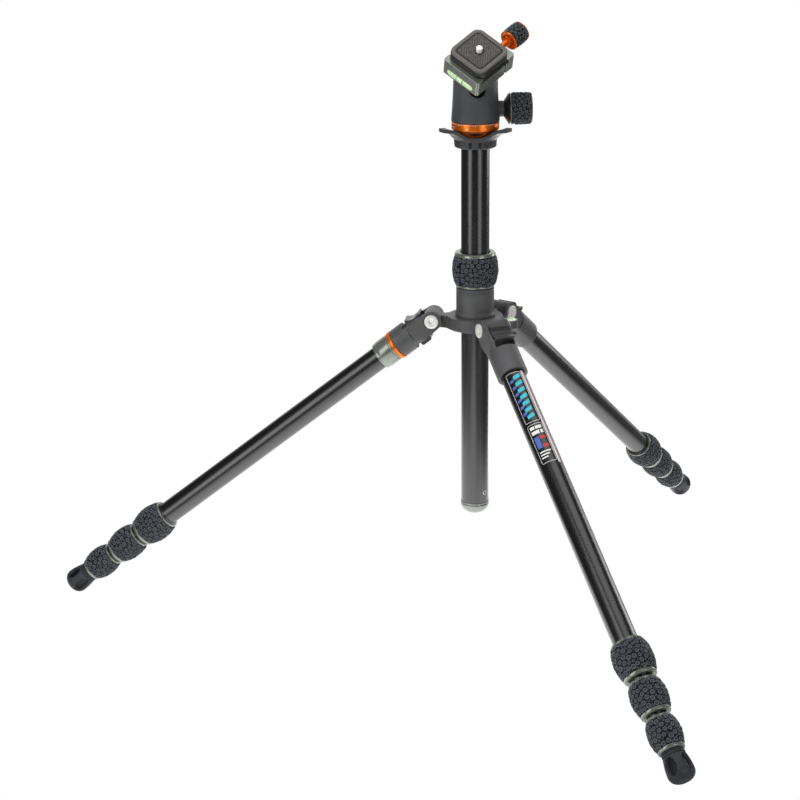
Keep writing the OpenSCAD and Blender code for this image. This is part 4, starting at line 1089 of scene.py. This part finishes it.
foot = [(7.06, FOOT_START), (10.2, FOOT_START), (10.4, FOOT_START + 0.9), (9.7, FOOT_START + 1.2),
        (9.7, FOOT_START + 1.9), (10.4, FOOT_START + 2.2), (10.4, FOOT_START + 3.1), (9.7, FOOT_START + 3.4),
        (9.7, FOOT_START + 4.1), (10.5, FOOT_START + 4.5)]
edge_s = FOOT_END - EDGE_R
foot += [(10.5 + 1.8 * sin(pi / 2 * k / 16), FOOT_START + 4.5 + (edge_s - FOOT_START - 4.5) * k / 16)
         for k in range(1, 16)]
foot += [(EDGE_OFFSET + EDGE_R * cos(pi / 2 * k / 16), edge_s + EDGE_R * sin(pi / 2 * k / 16))
         for k in range(0, 16)]
foot += [(EDGE_OFFSET, FOOT_END), (0, FOOT_END), (0, FOOT_START + 9), (7.06, FOOT_START + 9)]
for leg, azimuth in LEGS.items():
    place = on_leg(azimuth)
    mesh = turned(foot, 144, closed=True, wave=scooped)
    # The sunk share also paints each scoop near black: painted shade in the hollow.
    sunk = mesh.attributes.new("sunk", "FLOAT", "POINT")
    for vertex in mesh.vertices:
        sunk.data[vertex.index].value = sunk_share(atan2(vertex.co.y, vertex.co.x), vertex.co.z)
        spot = place @ vertex.co
        if spot.z < 0:
            spot.z = 0
            vertex.co = place.inverted() @ spot
    piece(f"leg_{leg}_foot_moulding", mesh, place, foot_rubber, "foot_rubber", f"leg_{leg}_section_4",
          f"leg_{leg}_foot")

# ---------------------------------------------------------------------------------------------
# Studio: a white ground for the camera, a pale floor that only lights the part and shows in its
# gloss, so that it hides no leg that swings down past it, four soft boxes and two fill lamps.

FLOOR_R = 4.0
floor_edge = [(FLOOR_R * cos(a), FLOOR_R * sin(a), 0) for a in np.linspace(0, 2 * pi, 65)[:-1]]
floor_mesh = skinned(floor_edge, [list(range(64))])
floor = placed("floor", floor_mesh)
floor_look = bpy.data.materials.new("floor_white")
floor_look.use_nodes = True
nodes = Nodes(floor_look.node_tree)
floor_shader = floor_look.node_tree.nodes["Principled BSDF"]
for key, value in (("Base Color", (0.8, 0.8, 0.8, 1)), ("Roughness", 0.9), ("Specular IOR Level", 0.0)):
    floor_shader.inputs[key].default_value = value
spot = nodes.place()

# Gloss sees a floor that is bright under the tripod and behind its right leg, dark at its sides, and
# has a bright strip in front of it
spot_x, spot_y = nodes.part(spot, "X"), nodes.part(spot, "Y")
under = nodes.eased_range(spot_y, -0.45, -0.05, 0.0, 1.0)
to_sides = nodes.eased_range(spot_x, 0.28, 0.52, 1.0, 0.06) * nodes.eased_range(spot_x, -0.6, -0.15, 0.06, 1.0)
behind_right = nodes.eased_range(spot_y, 0.25, 0.5, 0.0, 1.8) * nodes.eased_range(spot_x, -0.05, 0.15, 0.0, 1.0)
strip = nodes.eased_range(spot_x, -0.3, -0.05, 0.15, 1.15) * nodes.eased_range(spot_x, 0.12, 0.32, 1.0, 0.15)
in_front = strip * (1 - under) * nodes.eased_range(spot_y, -1.5, -0.7, 0.2, 1.0)
glow = nodes.add("ShaderNodeEmission", None, {
    "Color": (1, 1, 1, 1), "Strength": under * to_sides * (behind_right + 1.6) + in_front})
both = nodes.add("ShaderNodeMixShader", None, {0: nodes.ray("Glossy") * 0.95,
                                               1: Value(nodes, floor_shader.outputs[0]), 2: glow})
floor_look.node_tree.links.new(both.socket, floor_look.node_tree.nodes["Material Output"].inputs["Surface"])
floor_mesh.materials.append(floor_look)
floor.visible_camera = False

world = bpy.data.worlds.new("studio")
bpy.context.scene.world = world
world.use_nodes = True
nodes = Nodes(world.node_tree)
way = nodes.add("ShaderNodeTexCoord", output="Generated")
behind = nodes.eased_range(nodes.part(way, "Y"), 0.5, 0.95, 0.05, 1.0)
camera_ray, glossy_ray = nodes.ray("Camera"), nodes.ray("Glossy")
strength = camera_ray + glossy_ray * behind + (1 - camera_ray - glossy_ray) * 0.33
background = world.node_tree.nodes["Background"]
background.inputs["Color"].default_value = (1, 1, 1, 1)
world.node_tree.links.new(strength.socket, background.inputs["Strength"])

AIM = Vector((0.1, 0.0, 0.3))
for name, spot, size, watts in (("left_softbox", (-0.5, -0.75, 0.68), (0.42, 1.3), 3.1),
                                ("right_softbox", (0.85, -0.85, 0.42), (0.45, 0.85), 1.7),
                                ("rear_softbox", (1.13, 0.75, 0.58), (0.4, 0.6), 2.3),
                                ("top_softbox", (0.25, -0.1, 1.9), (1.3, 1.1), 4.5),
                                ("top_fill", (0.1, 0.05, 2.1), (0.8, 0.8), 17.0),
                                ("key_fill", (-1.0, -1.3, 1.7), (0.5, 0.5), 16.0)):
    lamp = bpy.data.lights.new(name, "AREA")
    lamp.shape, lamp.size, lamp.size_y, lamp.energy = "RECTANGLE", size[0], size[1], watts
    box = placed(name, lamp)
    box.location, box.visible_camera, box.visible_glossy = spot, False, "fill" not in name
    box.rotation_euler = (AIM - Vector(spot)).to_track_quat("-Z", "Y").to_euler()

heading, pitch, roll = radians(-7.457), radians(17.445), radians(-0.554)
ahead = Vector((sin(heading) * cos(pitch), cos(heading) * cos(pitch), -sin(pitch)))
right = Vector((cos(heading), -sin(heading), 0))
up = right.cross(ahead)
right, up = right * cos(roll) + up * sin(roll), up * cos(roll) - right * sin(roll)
lens = bpy.data.cameras.new("camera")
lens.lens, lens.sensor_width, lens.clip_end = 93.063, 36.0, 50.0
camera = placed("camera", lens)
turned_to = Matrix((right, up, -ahead)).transposed().to_4x4()
camera.matrix_world = move(0.28049, -1.92202, 0.8252) @ turned_to
bpy.context.scene.camera = camera
bpy.context.scene.view_settings.view_transform = "Standard"
